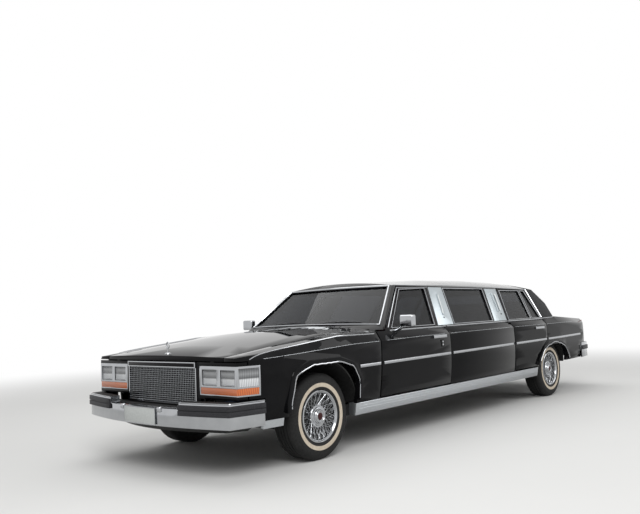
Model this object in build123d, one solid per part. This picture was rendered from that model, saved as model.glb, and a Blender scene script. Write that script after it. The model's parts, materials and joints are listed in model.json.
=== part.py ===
import math
import os
from build123d import *

# A stretched formal sedan, in millimetres. X runs forward, Y to the left, Z up, and the
# origin is at the middle of the car's footprint, on the ground.

# Driving dimensions: overall
wheelbase = 4300
front_overhang = 1055
rear_overhang = 1335
body_width = 1910
roof_height = 1470
sill_height = 290
belt_height = 955
shoulder_inset = 62
tumblehome = 27.5

# Driving dimensions: panels and gaps
seam = 8
frame_gap = 11
door_wall = 90
panel_wall = 32
roof_wall = 35
glass_thickness = 5
glass_recess = 12
skim = 0.3

# Driving dimensions: wheels and axles
tyre_radius = 336
tyre_width = 215
rim_radius = 190
track_front = 1567
track_rear = 1542
spindle_radius = 24
kingpin_inboard = 70
kingpin_radius = 16

# Driving dimensions: chassis
rail_top = 300
rail_deep = 100
rail_in, rail_out = 385, 450
kick_up = 508

length = front_overhang + wheelbase + rear_overhang
x_front_axle = length / 2 - front_overhang
x_rear_axle = x_front_axle - wheelbase
half_width = body_width / 2
belt_half_width = half_width - shoulder_inset

# Places along the car, measured from the axles
x_grille = x_front_axle + 850
x_hood_rear = x_front_axle - 700
x_cowl = x_front_axle - 745
x_tail = x_rear_axle - 1070
x_windshield = x_front_axle - 899
x_backlight = x_rear_axle - 162
x_front_seam = x_front_axle - 1870
x_rear_seam = x_rear_axle + 1065
x_rear_door_end = x_rear_axle + 195
door_sill = 398


def box(x0, x1, y0, y1, z0, z1):
    """A block between two corners."""
    size = (abs(x1 - x0), abs(y1 - y0), abs(z1 - z0))
    middle = ((x0 + x1) / 2, (y0 + y1) / 2, (z0 + z1) / 2)
    return Pos(*middle) * Box(*size)


def side_slab(points, y0, y1):
    """A side-view outline of (x, z) points, extruded from y0 to y1."""
    plane = Plane(origin=(0, y1, 0), x_dir=(1, 0, 0), z_dir=(0, -1, 0))
    face = plane * make_face(Polyline(*points, close=True))
    return extrude(face, amount=y1 - y0, dir=(0, -1, 0))


def front_slab(points, x0, x1):
    """A front-view outline of (y, z) points, extruded from x0 to x1."""
    plane = Plane(origin=(x0, 0, 0), x_dir=(0, 1, 0), z_dir=(1, 0, 0))
    face = plane * make_face(Polyline(*points, close=True))
    return extrude(face, amount=x1 - x0, dir=(1, 0, 0))


def plan_slab(points, z0, z1):
    """A plan-view outline of (x, y) points, extruded from z0 to z1."""
    face = Pos(0, 0, z0) * make_face(Polyline(*points, close=True))
    return extrude(face, amount=z1 - z0, dir=(0, 0, 1))


def inset_points(points, amount):
    """The corners of a closed outline with every edge moved inwards by amount."""
    count = len(points)
    area = sum(points[i][0] * points[(i + 1) % count][1] - points[(i + 1) % count][0] * points[i][1]
               for i in range(count))
    turn = 1 if area > 0 else -1
    moved = []
    for i in range(count):
        before, here, after = points[i - 1], points[i], points[(i + 1) % count]
        a = (Vector(*here) - Vector(*before)).normalized()
        b = (Vector(*after) - Vector(*here)).normalized()
        normal_a = Vector(-a.Y, a.X) * turn
        normal_b = Vector(-b.Y, b.X) * turn
        mitre = (normal_a + normal_b) * (amount / (1 + normal_a.dot(normal_b)))
        moved.append((here[0] + mitre.X, here[1] + mitre.Y))
    return moved


def mirrored(shape):
    """The same piece on the car's right side."""
    return shape.mirror(Plane.XZ)


def pair(*shapes):
    """Left-side pieces and their right-side twins, as one node of separate solids."""
    solids = [solid for shape in shapes for solid in shape.solids()]
    return Compound(children=[*solids, *[mirrored(solid) for solid in solids]])


def group(*shapes):
    """Separate solids that share one node."""
    return Compound(children=[solid for shape in shapes for solid in shape.solids()])


# Lower body sections. Columns: x, side inset, then crease, shoulder edge and centre line
# heights above the belt line, then the shoulder edge's inset from the half width
body_sections = [
    (x_grille, 75, -133, -107, -93, 95),
    (x_grille - 175, 18, -127, -92, -70, 55),
    (x_front_axle + 450, 2, -117, -69, -40, 43),
    (x_front_axle - 225, 0, -89, -7, 30, 50),
    (x_cowl, 0, -77, 5, 67, 62),
    (x_rear_door_end, 0, -65, 0, 45, 62),
    (x_rear_axle - 200, 5, -65, 20, 50, 75),
    (x_tail, 50, -89, -37, -20, 93),
]
z_widest = belt_height - 315


def body_half(inset=0.0):
    """The left half of the lower body as one solid, with its outside moved in by inset."""
    faces = []
    last = len(body_sections) - 1
    for number, (x, side, crease_rise, edge_rise, deck_rise, edge_inset) in enumerate(body_sections):
        width, y_edge = half_width - side, half_width - edge_inset
        z_crease, z_edge, z_deck = (belt_height + rise for rise in (crease_rise, edge_rise, deck_rise))
        shift = inset if number == last else -inset if number == 0 else 0
        low = (x + shift, width - 45 - inset, sill_height)
        wide = (x + shift, width - inset, z_widest)
        crease = (x + shift, width - 3 - inset, z_crease - inset * 0.4)
        edge = (x + shift, y_edge - inset, z_edge - inset)
        crown = (x + shift, (y_edge - inset) / 2, z_deck - inset - (z_deck - z_edge) / 4)
        top = (x + shift, 0, z_deck - inset)
        base = (x + shift, 0, sill_height)
        outline = (ThreePointArc(low, wide, crease) + Line(crease, edge)
                   + ThreePointArc(edge, crown, top) + Line(top, base) + Line(base, low))
        faces.append(make_face(outline.edges()))
    return loft(faces, ruled=True)


# Greenhouse sections. Columns: x, then how far the rail and the centre line lie below
# the roof's top
roof_sections = [
    (x_windshield + 300, 88, 66),
    (x_windshield - 440, 93, 44),
    (x_front_axle - 2500, 108, 2),
    (x_front_axle - 3300, 124, 0),
    (x_rear_axle + 450, 140, 14),
    (x_rear_axle - 500, 156, 70),
]
tilt = math.radians(tumblehome)
greenhouse_base = belt_height - 15
glass_line = belt_height + 45
windshield_slope = 1.23
windshield_bow = 90
backlight_bend = roof_height - 322
lower_back_slope = 0.1
backlight_slope = 1.0


def side_y(z):
    """Half width of the greenhouse's flat side at height z."""
    return belt_half_width - (z - belt_height) * math.tan(tilt)


def rail_z(x):
    """Height of the roof rail at x, along the straight runs of the table."""
    for (xa, drop_a, _), (xb, drop_b, _) in zip(roof_sections, roof_sections[1:]):
        if xb <= x <= xa:
            return roof_height - drop_a - (drop_b - drop_a) * (xa - x) / (xa - xb)
    return roof_height - roof_sections[-1][1]


def greenhouse(inset=0.0):
    """The whole upper body as one solid, with its outside moved in by inset."""
    faces = []
    side_shift = inset / math.cos(tilt)
    for x, rail_drop_here, top_drop in roof_sections:
        rail = roof_height - rail_drop_here - inset
        low = (x, side_y(greenhouse_base) - side_shift, greenhouse_base)
        high = (x, side_y(rail) - side_shift, rail)
        top = (x, 0, roof_height - top_drop - inset)
        mirrored_low = (x, -low[1], low[2])
        mirrored_high = (x, -high[1], high[2])
        outline = (Line(low, high) + ThreePointArc(high, top, mirrored_high)
                   + Line(mirrored_high, mirrored_low) + Line(mirrored_low, low))
        faces.append(make_face(outline.edges()))
    whole = loft(faces, ruled=True)
    front = slanted_cutter(x_windshield, glass_line, windshield_bow, windshield_slope, 1, inset)
    x_bend = x_backlight + (backlight_bend - glass_line) * lower_back_slope
    lower_rear = slanted_cutter(x_backlight, glass_line, 20, lower_back_slope, -1, inset)
    upper_rear = slanted_cutter(x_bend, backlight_bend, 20, backlight_slope, -1, inset)
    return whole - front - lower_rear - upper_rear


def slanted_cutter(x_side, z_side, bow, slope, forward, inset):
    """What lies outside a bowed, sloping window surface at the front or rear."""
    shift = inset * math.hypot(1, slope)
    z0 = greenhouse_base - 50
    x0 = x_side + forward * ((z_side - z0) * slope - shift)
    reach, wide = half_width, belt_half_width
    arc = ThreePointArc((x0, -wide, z0), (x0 + forward * bow, 0, z0), (x0, wide, z0))
    ends = [(x0, wide, z0), (x0, reach, z0), (x0 + forward * 2 * reach, reach, z0),
            (x0 + forward * 2 * reach, -reach, z0), (x0, -reach, z0), (x0, -wide, z0)]
    face = make_face((arc + Polyline(*ends)).edges())
    rise = roof_height - z0 + 50
    return extrude(face, amount=rise * math.hypot(1, slope), dir=(-forward * slope, 0, 1))


# The flat side of the greenhouse: local x runs rearward, local y up the slope
side_plane = Plane(origin=(0, belt_half_width, belt_height), x_dir=(-1, 0, 0),
                   z_dir=(0, math.cos(tilt), math.sin(tilt)))


def on_side(points):
    """Side-view (x, z) points as local points of the greenhouse's flat side."""
    return [(-x, (z - belt_height) / math.cos(tilt)) for x, z in points]


def side_prism(points, depth_from, depth_to, grow=0.0, draft=0.0):
    """A prism through the greenhouse's side between two depths, narrowing inwards by draft."""
    local = on_side(points)
    outer = inset_points(local, -grow + draft * depth_from)
    inner = inset_points(local, -grow + draft * depth_to)
    first = side_plane.offset(-depth_from) * make_face(Polyline(*outer, close=True))
    second = side_plane.offset(-depth_to) * make_face(Polyline(*inner, close=True))
    return loft([first, second], ruled=True)


def door_plug(points, grow=0.0, draft=0.14):
    """A side-view outline cut through the lower body wall, narrowing inwards by draft."""
    y_out, y_in = half_width + 40, half_width - 140
    outer = inset_points(points, -grow)
    inner = inset_points(points, -grow + draft * (y_out - y_in))
    plane_out = Plane(origin=(0, y_out, 0), x_dir=(1, 0, 0), z_dir=(0, -1, 0))
    plane_in = Plane(origin=(0, y_in, 0), x_dir=(1, 0, 0), z_dir=(0, -1, 0))
    return loft([plane_out * make_face(Polyline(*outer, close=True)),
                 plane_in * make_face(Polyline(*inner, close=True))], ruled=True)


frame_draft = 0.5
rail_drop = 9
pillar_edge = 36
window_low = belt_height + 20
window_top_drop = 17


def pillar_x(z):
    """The windshield corner's x at height z."""
    return x_windshield - windshield_slope * (z - glass_line)


def under_rail(x, drop=rail_drop):
    """A side-view point that lies drop under the roof rail."""
    return (x, rail_z(x) - drop)


belt_over, belt_under = belt_height + 60, belt_height - 60
x_pillar_top = pillar_x(roof_height - 103)
front_door_low = [
    (x_cowl - 5, belt_over), (x_cowl + 30, door_sill), (x_front_seam, door_sill),
    (x_front_seam, belt_over)]
front_door_high = [
    (pillar_x(belt_under) - pillar_edge, belt_under), under_rail(x_pillar_top - pillar_edge),
    under_rail(x_front_seam - 22), (x_front_seam + 155, belt_under)]
window_top = rail_z(x_pillar_top) - 2 * window_top_drop
front_window = [
    (pillar_x(window_low) - 108, window_low + 5), (pillar_x(window_top) - 68, window_top),
    (x_front_seam + 38, rail_z(x_front_seam) - window_top_drop - 8), (x_front_seam + 170, window_low)]
rear_door_low = [
    (x_rear_seam, belt_over), (x_rear_seam, door_sill), (x_rear_axle + 500, door_sill),
    (x_rear_axle + 455, 500), (x_rear_axle + 320, 625), (x_rear_door_end + 10, 720),
    (x_rear_door_end, belt_over)]
rear_door_high = [
    (x_rear_seam + 58, belt_under), under_rail(x_rear_seam - 122), under_rail(x_rear_door_end + 13),
    (x_rear_door_end - 10, belt_under)]
rear_window = [
    (x_rear_seam - 13, window_low), under_rail(x_rear_seam - 157, 26),
    under_rail(x_rear_door_end + 222, 26), (x_rear_door_end + 282, window_low)]
quarter_vent = [
    (x_rear_door_end + 257, window_low), under_rail(x_rear_door_end + 191, 26),
    under_rail(x_rear_door_end + 77, 26), (x_rear_door_end + 20, window_low)]
centre_window = [
    (x_front_seam - 197, window_low), under_rail(x_front_seam - 311, 20),
    under_rail(x_rear_seam + 224, 20), (x_rear_seam + 358, window_low)]

# Wheel arch openings in side view, from low front to low rear, relative to the hub
front_arch = [(396, 0), (392, 483), (332, 688), (153, 745), (-179, 747), (-340, 698),
              (-412, 578), (-400, 427), (-392, 0)]
rear_arch = [(450, 0), (448, 462), (330, 580), (180, 640), (-160, 640), (-300, 594),
             (-400, 470), (-405, 0)]


arch_round = 45


def arch_cutter(outline, x_hub, y_in):
    """The opening over a wheel, from y_in outwards, with rounded corners."""
    points = [(x_hub + x, z) for x, z in outline]
    solid = side_slab(points, y_in, half_width + 100)
    uprights = [edge for edge in solid.edges().filter_by(Axis.Y) if edge.center().Z > sill_height + 110]
    return fillet(uprights, arch_round)


def arch_brow(outline, x_hub, low):
    """A raised brow round a wheel opening, above low, with a rounded outer rim."""
    points = inset_points([(x_hub + x, z) for x, z in outline], -brow_width)
    solid = side_slab(points, half_width - 20, half_width + brow_out)
    uprights = [edge for edge in solid.edges().filter_by(Axis.Y) if edge.center().Z > sill_height + 110]
    solid = fillet(uprights, arch_round + brow_width)
    rim = solid.faces().sort_by(Axis.Y)[-1].edges()
    solid = chamfer(rim, brow_out - 2)
    return solid & box(-big, big, 0, half_width + 50, low, belt_height)


brow_width, brow_out = 42, 9
big = 2 * length


class Car:
    """The shared volumes that the panels are cut from."""

    def __init__(self):
        self.body = body_half()
        self.shell = self.body - body_half(panel_wall)
        self.upper = greenhouse()
        self.upper_shell = self.upper - greenhouse(roof_wall)
        self.glass_layer = greenhouse(glass_recess) - greenhouse(glass_recess + glass_thickness)


parts = {}
car = Car()

y_wall = half_width - door_wall
lid_low = belt_height - 175
deck_over = belt_height + 145
front_low_hole = door_plug(front_door_low, seam)
rear_low_hole = door_plug(rear_door_low, seam)
front_high_hole = side_prism(front_door_high, -10, roof_wall + 40, frame_gap, frame_draft)
rear_high_hole = side_prism(rear_door_high, -10, roof_wall + 40, frame_gap, frame_draft)


# Door hinges: a pin in a pocket of each door, held by a leaf on the body's post
hinge_depth = 14
hinge_heights = (door_sill + 162, belt_height - 155)
pin_radius = 4
knuckle_radius = 6.3
leaf_height = 40
hinge_y = half_width - hinge_depth
front_hinge_x = x_cowl - 35
rear_hinge_x = x_rear_seam - 40
post_out = y_wall - 19


def hinge_pocket(x):
    reach = knuckle_radius + 5.7
    cuts = [box(x - reach, x + 120, y_wall - 50, hinge_y + knuckle_radius + 0.5,
                z - leaf_height / 2 - 6, z + leaf_height / 2 + 6) for z in hinge_heights]
    return cuts[0] + cuts[1]


def hinge_pins(x):
    pins = [Pos(x, hinge_y, z) * Cylinder(pin_radius, leaf_height + 12) for z in hinge_heights]
    return pins[0] + pins[1]


def hinge_post(x, x0, x1, y_in, z0, z1):
    """A body post with one hinge leaf at each hinge height."""
    post = box(x0, x1, y_in, post_out, z0, z1)
    for z in hinge_heights:
        post += box(x - knuckle_radius, x + knuckle_radius, post_out - 5, hinge_y,
                    z - leaf_height / 2, z + leaf_height / 2)
        post += Pos(x, hinge_y, z) * Cylinder(knuckle_radius, leaf_height)
        post -= Pos(x, hinge_y, z) * Cylinder(pin_radius + skim, leaf_height + 10)
    return post


def make_door(low, high, windows, x_hinge):
    """A framed door: a lower box, an upper window frame, and its panes."""
    lower = car.body & door_plug(low) & box(-big, big, y_wall, half_width + 50, 0, belt_height + 4)
    upper = car.upper_shell & side_prism(high, -10, roof_wall + 40, 0, frame_draft)
    door = lower - car.upper + upper
    door = door - hinge_pocket(x_hinge) + hinge_pins(x_hinge)
    panes = []
    for window in windows:
        door -= side_prism(window, -20, roof_wall + 80)
        panes.append(side_prism(window, glass_recess, glass_recess + glass_thickness))
    return door, panes


front_door, front_panes = make_door(
    front_door_low, front_door_high, [front_window], front_hinge_x)
rear_door, rear_panes = make_door(
    rear_door_low, rear_door_high, [rear_window, quarter_vent], rear_hinge_x)


def pull_handle(x, z):
    """A pull handle seated on the door's side, with rounded ends."""
    bar = box(x, x + 225, half_width - 12, half_width + 18, z - 14, z + 14)
    return fillet(bar.edges().filter_by(Axis.Z), 10)


nose_top = belt_height - 139
bumper_top = 545
sill_top = door_sill - seam
# Front fenders: from the nose to the door seam, outside the hood
y_hood = half_width - 210
fender = car.shell & box(x_cowl - 20, x_grille, y_hood + seam / 2, half_width + 50, 0, deck_over)
fender += arch_brow(front_arch, x_front_axle, sill_top + 30)
fender = fender - arch_cutter(front_arch, x_front_axle, 600) - door_plug(front_door_low, seam, 0)
fender -= box(x_front_axle, x_grille + 10, 0, half_width + 50, 0, door_sill - seam)
fender -= box(x_cowl - 100, x_front_axle, 0, half_width + 50, 0, door_sill - seam)
fender -= box(x_grille - 90, x_grille + 50, 0, half_width + 50, bumper_top, nose_top + seam)
fender -= box(x_front_axle + 632, x_grille + 50, 0, half_width + 50, 0, bumper_top + seam)
fender -= car.upper

hood = car.shell & box(x_hood_rear, x_grille, 0, y_hood - seam / 2, lid_low, deck_over)
hood -= box(x_grille - 60, x_grille + 50, 0, half_width, 0, nose_top + seam)
hood = hood + hood.mirror(Plane.XZ)

cowl = car.shell & box(x_windshield - 90, x_hood_rear - seam, 0, half_width, greenhouse_base + 2, deck_over)
cowl = cowl - car.upper - front_low_hole
cowl = cowl & box(-big, big, 0, y_hood + seam / 2, 0, deck_over)
cowl = cowl + cowl.mirror(Plane.XZ)

# Fixed centre panels between the doors, as thick as the doors
centre = car.body & box(
    x_rear_seam - 30, x_front_seam + 30, y_wall, half_width + 50, door_sill, belt_height + 4)
centre = centre - front_low_hole - door_plug(rear_door_low, seam, 0) - car.upper
centre = centre - front_high_hole - rear_high_hole

# Rear quarters with the deck beside the boot lid and the shelf under the rear window
y_boot = half_width - 255
rear_bumper_top = 600
x_boot_front = x_backlight - 90
quarter = car.shell & box(
    x_tail, x_rear_door_end + 700, y_boot + seam / 2, half_width + 50, door_sill - 90, deck_over)
quarter += arch_brow(rear_arch, x_rear_axle, sill_top + 30)
quarter = quarter - rear_low_hole - rear_high_hole - arch_cutter(rear_arch, x_rear_axle, 500)
quarter = quarter - box(x_rear_axle + 400, big, 0, half_width + 50, 0, door_sill) - car.upper
quarter = quarter - box(-big, x_rear_axle, 0, half_width + 50, 0, sill_top + 20)
quarter = quarter - box(-big, x_rear_axle - 950, 0, half_width + 50, 0, rear_bumper_top + seam)

boot_lid = car.shell & box(x_tail, x_boot_front, 0, y_boot - seam / 2, rear_bumper_top, deck_over)
boot_lid = boot_lid + boot_lid.mirror(Plane.XZ)
rear_shelf = car.shell & box(
    x_boot_front + seam, x_rear_door_end + 100, 0, y_boot + seam / 2, greenhouse_base + 2, deck_over)
rear_shelf = rear_shelf - car.upper
rear_shelf = rear_shelf + rear_shelf.mirror(Plane.XZ)

sill = car.body & box(x_rear_axle + 455, x_front_axle - 395, post_out, half_width, 0, sill_top)
front_sill = car.shell & box(
    x_front_axle + 444, x_front_axle + 632, post_out, half_width, sill_top - 58, sill_top)

# Roof with its pillars, and the fixed glass
roof = car.upper_shell
for hole in (front_high_hole, rear_high_hole):
    roof = roof - hole - hole.mirror(Plane.XZ)
base_band = box(-big, big, 0, half_width + 50, 0, belt_height + 2 * seam)
for hole in (front_low_hole, rear_low_hole):
    pocket = hole & base_band
    roof = roof - pocket - pocket.mirror(Plane.XZ)
centre_opening = side_prism(centre_window, -20, roof_wall + 80)
roof = roof - centre_opening - centre_opening.mirror(Plane.XZ)
shield_low, shield_high = belt_height + 57, roof_height - 103
shield_edge = 50
shield_opening = front_slab(
    [(side_y(shield_low) - shield_edge, shield_low), (side_y(shield_high) - shield_edge, shield_high),
     (-side_y(shield_high) + shield_edge, shield_high), (-side_y(shield_low) + shield_edge, shield_low)],
    x_windshield - 900, x_windshield + 400)
back_low, back_high = backlight_bend + 22, roof_height - 172
back_edge = 190
back_opening = front_slab(
    [(side_y(back_low) - back_edge, back_low), (side_y(back_high) - back_edge, back_high),
     (-side_y(back_high) + back_edge, back_high), (-side_y(back_low) + back_edge, back_low)],
    x_backlight - 400, x_backlight + 700)
windshield = car.glass_layer & shield_opening & box(x_windshield - 560, big, -half_width, half_width, 0, big)
rear_glass = car.glass_layer & back_opening & box(-big, x_rear_axle + 300, -half_width, half_width, 0, big)
front_part = box(x_front_axle - 1600, big, -half_width, half_width, 0, shield_high)
rear_part = box(-big, x_rear_axle + 300, -half_width, half_width, 0, back_high)
roof = roof - (shield_opening & front_part) - (back_opening & rear_part)
centre_pane = side_prism(centre_window, glass_recess, glass_recess + glass_thickness)

# Nose: a painted panel that carries the grille and, at each corner, a wrapped lamp group
grille_half, grille_low = half_width - 515, 500
lamp_in, lamp_depth, x_lamp_rear = grille_half + 30, 58, x_grille - 175
group_low, group_high = belt_height - 377, belt_height - 165
header_depth, bezel_gap = 80, bumper_top + seam
header = car.body & box(x_grille - header_depth, x_grille, 0, half_width, bezel_gap, nose_top)
header += box(x_grille - header_depth, x_grille, 0, grille_half + 25, grille_low - 5, bezel_gap + 1)
header -= (car.body - body_half(lamp_depth + skim)) & box(
    x_lamp_rear, big, lamp_in - skim, half_width, group_low - skim, group_high + skim)
header = header + header.mirror(Plane.XZ)
for side in (1, -1):
    header += box(x_grille - 28, x_grille - 8, side * 590, side * 630, nose_top - 1, nose_top + seam - skim)
header -= box(x_grille - 60 - skim, x_grille + 10, -grille_half - skim, grille_half + skim,
              grille_low - skim, nose_top + 1)
fender -= box(x_lamp_rear - skim, big, lamp_in, half_width + 50, group_low - skim, group_high + skim)

# Grille: upright fins in front of cross bars, in a bright frame with a deep top band
fin_count, bar_count = 40, 8
fin_width, band_deep, frame_edge = 2.4, 42, 12
grille_top = nose_top - skim
grille = box(x_grille - 60, x_grille + 8, -grille_half, grille_half, grille_low, grille_top)
grille -= box(x_grille - 70, x_grille + 20, -grille_half + frame_edge, grille_half - frame_edge,
              grille_low + frame_edge, grille_top - band_deep)
grille += box(x_grille - 10, x_grille + 16, -grille_half, grille_half, grille_top - band_deep, grille_top)
fin_pitch = 2 * (grille_half - frame_edge) / (fin_count + 1)
bar_pitch = (grille_top - band_deep - grille_low - frame_edge) / (bar_count + 1)
fins = [box(x_grille - 18, x_grille + 2, y - fin_width / 2, y + fin_width / 2,
            grille_low + frame_edge / 2, grille_top - band_deep / 2)
        for y in [-grille_half + frame_edge + fin_pitch * (number + 1) for number in range(fin_count)]]
bars = [box(x_grille - 40, x_grille - 18 - skim, -grille_half + frame_edge / 2, grille_half - frame_edge / 2,
            z - fin_width / 2, z + fin_width / 2)
        for z in [grille_low + frame_edge + bar_pitch * (number + 1) for number in range(bar_count)]]
grille = grille.fuse(*fins, *bars)

# Lamp groups: two oblong lamps, a clear lens round the corner, and an amber strip below.
# Columns: inner edge, outer edge
lamp_rows = [(half_width - 455, half_width - 290), (half_width - 252, half_width - 93)]
lens_low, lens_high, amber_low, amber_high = group_low + 72, group_low + 186, group_low + 10, group_low + 58
lens_depth, lens_skin, wrap_in = 42, 30, half_width - 85
corner_block = box(x_lamp_rear, big, lamp_in, half_width, group_low, group_high)
bezel = (car.body - body_half(lamp_depth)) & corner_block
skin = car.body - body_half(lens_skin)
wrap_box = box(x_lamp_rear + 10, x_grille - 16, wrap_in, half_width, lens_low - 4, lens_high + 10)
amber_box = box(x_lamp_rear + 10, big, lamp_in + 12, half_width, amber_low, amber_high)
front_lenses = [box(x_grille - lens_depth - 8, x_grille - 8, y0, y1, lens_low, lens_high)
                for y0, y1 in lamp_rows]
bezel -= skin & wrap_box
bezel -= skin & amber_box
for y0, y1 in lamp_rows:
    bezel -= box(x_grille - lens_depth - 8, big, y0, y1, lens_low, lens_high)
corner_lens = (body_half(3) - body_half(lens_skin)) & wrap_box
amber = (body_half(2) - body_half(lens_skin)) & amber_box

# Bumpers: a bowed bar with wrapped ends


def bumper(x_mid, x_corner, y_corner, x_end, y_end, depth, z_low, z_high):
    """A bowed bar that wraps round both corners."""
    outline = (ThreePointArc((x_corner, y_corner), (x_mid, 0), (x_corner, -y_corner))
               + Polyline((x_corner, -y_corner), (x_end, -y_end), (x_end, -y_end + 25),
                          (x_corner - depth, -y_corner + 60))
               + ThreePointArc((x_corner - depth, -y_corner + 60), (x_mid - depth, 0),
                               (x_corner - depth, y_corner - 60))
               + Polyline((x_corner - depth, y_corner - 60), (x_end, y_end - 25), (x_end, y_end),
                          (x_corner, y_corner)))
    face = Pos(0, 0, z_low) * make_face(outline.edges())
    return extrude(face, amount=z_high - z_low, dir=(0, 0, 1))


x_nose, x_rear_end, bar_depth = x_front_axle + front_overhang, x_rear_axle - rear_overhang, 80


def front_bar(grow, z_low, z_high):
    """A length of the front bumper's height, with its outside moved out by grow."""
    return bumper(x_nose + grow, x_nose - 121 + grow, half_width - 60 + 0.7 * grow,
                  x_nose - 400, half_width - 5 + grow, bar_depth + grow, z_low, z_high)


def rear_bar(grow, z_low, z_high):
    """A length of the rear bumper's height, with its outside moved out by grow."""
    return bumper(x_rear_end + 12 - grow, x_rear_end + 101 - grow, half_width - 80 + 0.7 * grow,
                  x_rear_end + 375, half_width - 42 + grow, -bar_depth - grow, z_low, z_high)


def shelf(x_back, x_mid, x_corner, y_corner, z_low, z_high):
    """A flat filler between the body and the inside of a bowed bumper bar."""
    outline = (ThreePointArc((x_corner, y_corner), (x_mid, 0), (x_corner, -y_corner))
               + Polyline((x_corner, -y_corner), (x_back, -y_corner), (x_back, y_corner), (x_corner, y_corner)))
    face = Pos(0, 0, z_low) * make_face(outline.edges())
    return extrude(face, amount=z_high - z_low, dir=(0, 0, 1))


dip_half, dip_top, front_low = 447, 495, 365
pad_low, pad_high, pad_out, groove = 452, 528, 14, 6
front_bumper = front_bar(0, front_low, dip_top) + (
    front_bar(0, dip_top, bumper_top) - box(x_front_axle + 600, big, -dip_half, dip_half, 0, bumper_top + 50))
front_pads = front_bar(pad_out, pad_low, pad_high) - front_bar(0, 0, bumper_top + 50)
groove_z = (pad_low + pad_high) / 2
front_pads -= front_bar(pad_out + 1, groove_z - groove / 2, groove_z + groove / 2) - front_bar(
    pad_out - groove, 0, bumper_top + 50)
front_pads -= box(x_front_axle + 600, big, -dip_half, dip_half, 0, bumper_top + 50)
rear_low = 405
rear_bumper = rear_bar(0, rear_low, rear_bumper_top)
rear_pads = rear_bar(12, 505, 560) - rear_bar(0, 0, rear_bumper_top + 50)
valance = bumper(x_nose - 70, x_nose - 205, half_width - 155, x_nose - 355, half_width - 75, 24, 268, front_low)
shelf_gap, shelf_thick = 0.5, 18
front_shelf = shelf(x_grille - 60, x_nose - bar_depth - shelf_gap,
                    x_nose - 121 - bar_depth - shelf_gap, half_width - 120,
                    grille_low - 12 - shelf_thick, grille_low - 12)
tail_filler = shelf(x_tail + 1, x_rear_end + 12 + bar_depth + shelf_gap,
                    x_rear_end + 101 + bar_depth + shelf_gap, half_width - 140,
                    rear_bumper_top - 20 - shelf_thick, rear_bumper_top - 20)

# Wheels


def revolve_y(points):
    """A closed outline of (radius, y) points turned about the wheel's axis."""
    face = make_face(Polyline(*[(r, y, 0) for r, y in points], close=True))
    return revolve(face, axis=Axis.Y)


half_tyre = tyre_width / 2
# Tyre section. Columns: radius, distance out from the tyre's middle
tyre_side = [
    (rim_radius, half_tyre - 22), (rim_radius + 30, half_tyre - 6), (tyre_radius - 71, half_tyre),
    (tyre_radius - 26, half_tyre - 12), (tyre_radius - 6, half_tyre - 32), (tyre_radius, half_tyre - 50)]
tyre_outline = tyre_side + [(radius, -out) for radius, out in reversed(tyre_side)]
tyre = revolve_y(tyre_outline)
hub_bore = spindle_radius + skim
# Wheel section, with a pair of steps at the hub and at the rim that carry the wires.
# Columns: radius, distance out from the wheel's middle
high_step, low_step = 80, 72
wheel_outline = [
    (rim_radius, -half_tyre + 22), (rim_radius, half_tyre - 22), (rim_radius + 13, half_tyre - 14),
    (rim_radius + 13, half_tyre - 10), (rim_radius + 6, half_tyre - 7), (rim_radius - 8, half_tyre - 9),
    (rim_radius - 13, half_tyre - 18), (rim_radius - 13, high_step), (rim_radius - 22, high_step),
    (rim_radius - 22, low_step), (rim_radius - 32, low_step), (rim_radius - 32, 44), (84, 50),
    (84, low_step), (73, low_step), (73, high_step), (62, high_step), (62, 88), (50, 96), (34, 98),
    (28, 102), (0, 102), (0, 84), (hub_bore, 84), (hub_bore, 0), (70, 0), (84, 38),
    (rim_radius - 32, 30), (rim_radius - 13, 12), (rim_radius - 13, -half_tyre + 22)]
wheel = revolve_y(wheel_outline)

# Wire cover: two layers of crossing wires that lie on the steps.
# Columns: twist of a wire in degrees, its inner and outer radius, height of the step under it
wire_count, wire = 12, 4
wire_layers = [(20, 65, rim_radius - 15, high_step), (-20, 76, rim_radius - 24, low_step)]


def on_wheel(radius, angle, out):
    """A point on the wheel at a radius and angle, and a distance out."""
    turn = math.radians(angle)
    return Vector(radius * math.cos(turn), out, radius * math.sin(turn))


def cover_wire(start, end):
    """A square wire that lies flat between two points."""
    along = end - start
    return Plane(origin=(start + end) / 2, x_dir=along, z_dir=(0, 1, 0)) * Box(along.length, wire, wire)


wires = []
for twist, inner, outer, step in wire_layers:
    for number in range(wire_count):
        angle = 360 / wire_count * number
        out = step + wire / 2
        wires.append(cover_wire(on_wheel(inner, angle, out), on_wheel(outer, angle + twist, out)))
wheel = wheel.fuse(*wires)


def place_wheel(shape, x, y, side):
    turned = shape if side > 0 else shape.mirror(Plane.XZ)
    return Pos(x, y, tyre_radius) * turned


half_front = track_front / 2
half_rear = track_rear / 2
y_kingpin = half_front - kingpin_inboard
wheel_places = [
    ("front_left", x_front_axle, half_front, 1), ("front_right", x_front_axle, -half_front, -1),
    ("rear_left", x_rear_axle, half_rear, 1), ("rear_right", x_rear_axle, -half_rear, -1)]
for name, x, y, side in wheel_places:
    parts["tyre_" + name] = place_wheel(tyre, x, y, side)
    parts["wheel_" + name] = place_wheel(wheel, x, y, side)


def rod(x, y0, y1, z, radius):
    """A round bar along Y."""
    return Pos(x, (y0 + y1) / 2, z) * Rot(90, 0, 0) * Cylinder(radius, abs(y1 - y0))


knuckle = rod(x_front_axle, y_kingpin, half_front + half_tyre - 30, tyre_radius, spindle_radius)
knuckle += rod(x_front_axle, y_kingpin, half_front - skim, tyre_radius, 60)
knuckle += Pos(x_front_axle, y_kingpin, tyre_radius) * Cylinder(38, 160)
knuckle += Pos(x_front_axle, y_kingpin, tyre_radius) * Cylinder(kingpin_radius, 240)

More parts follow.
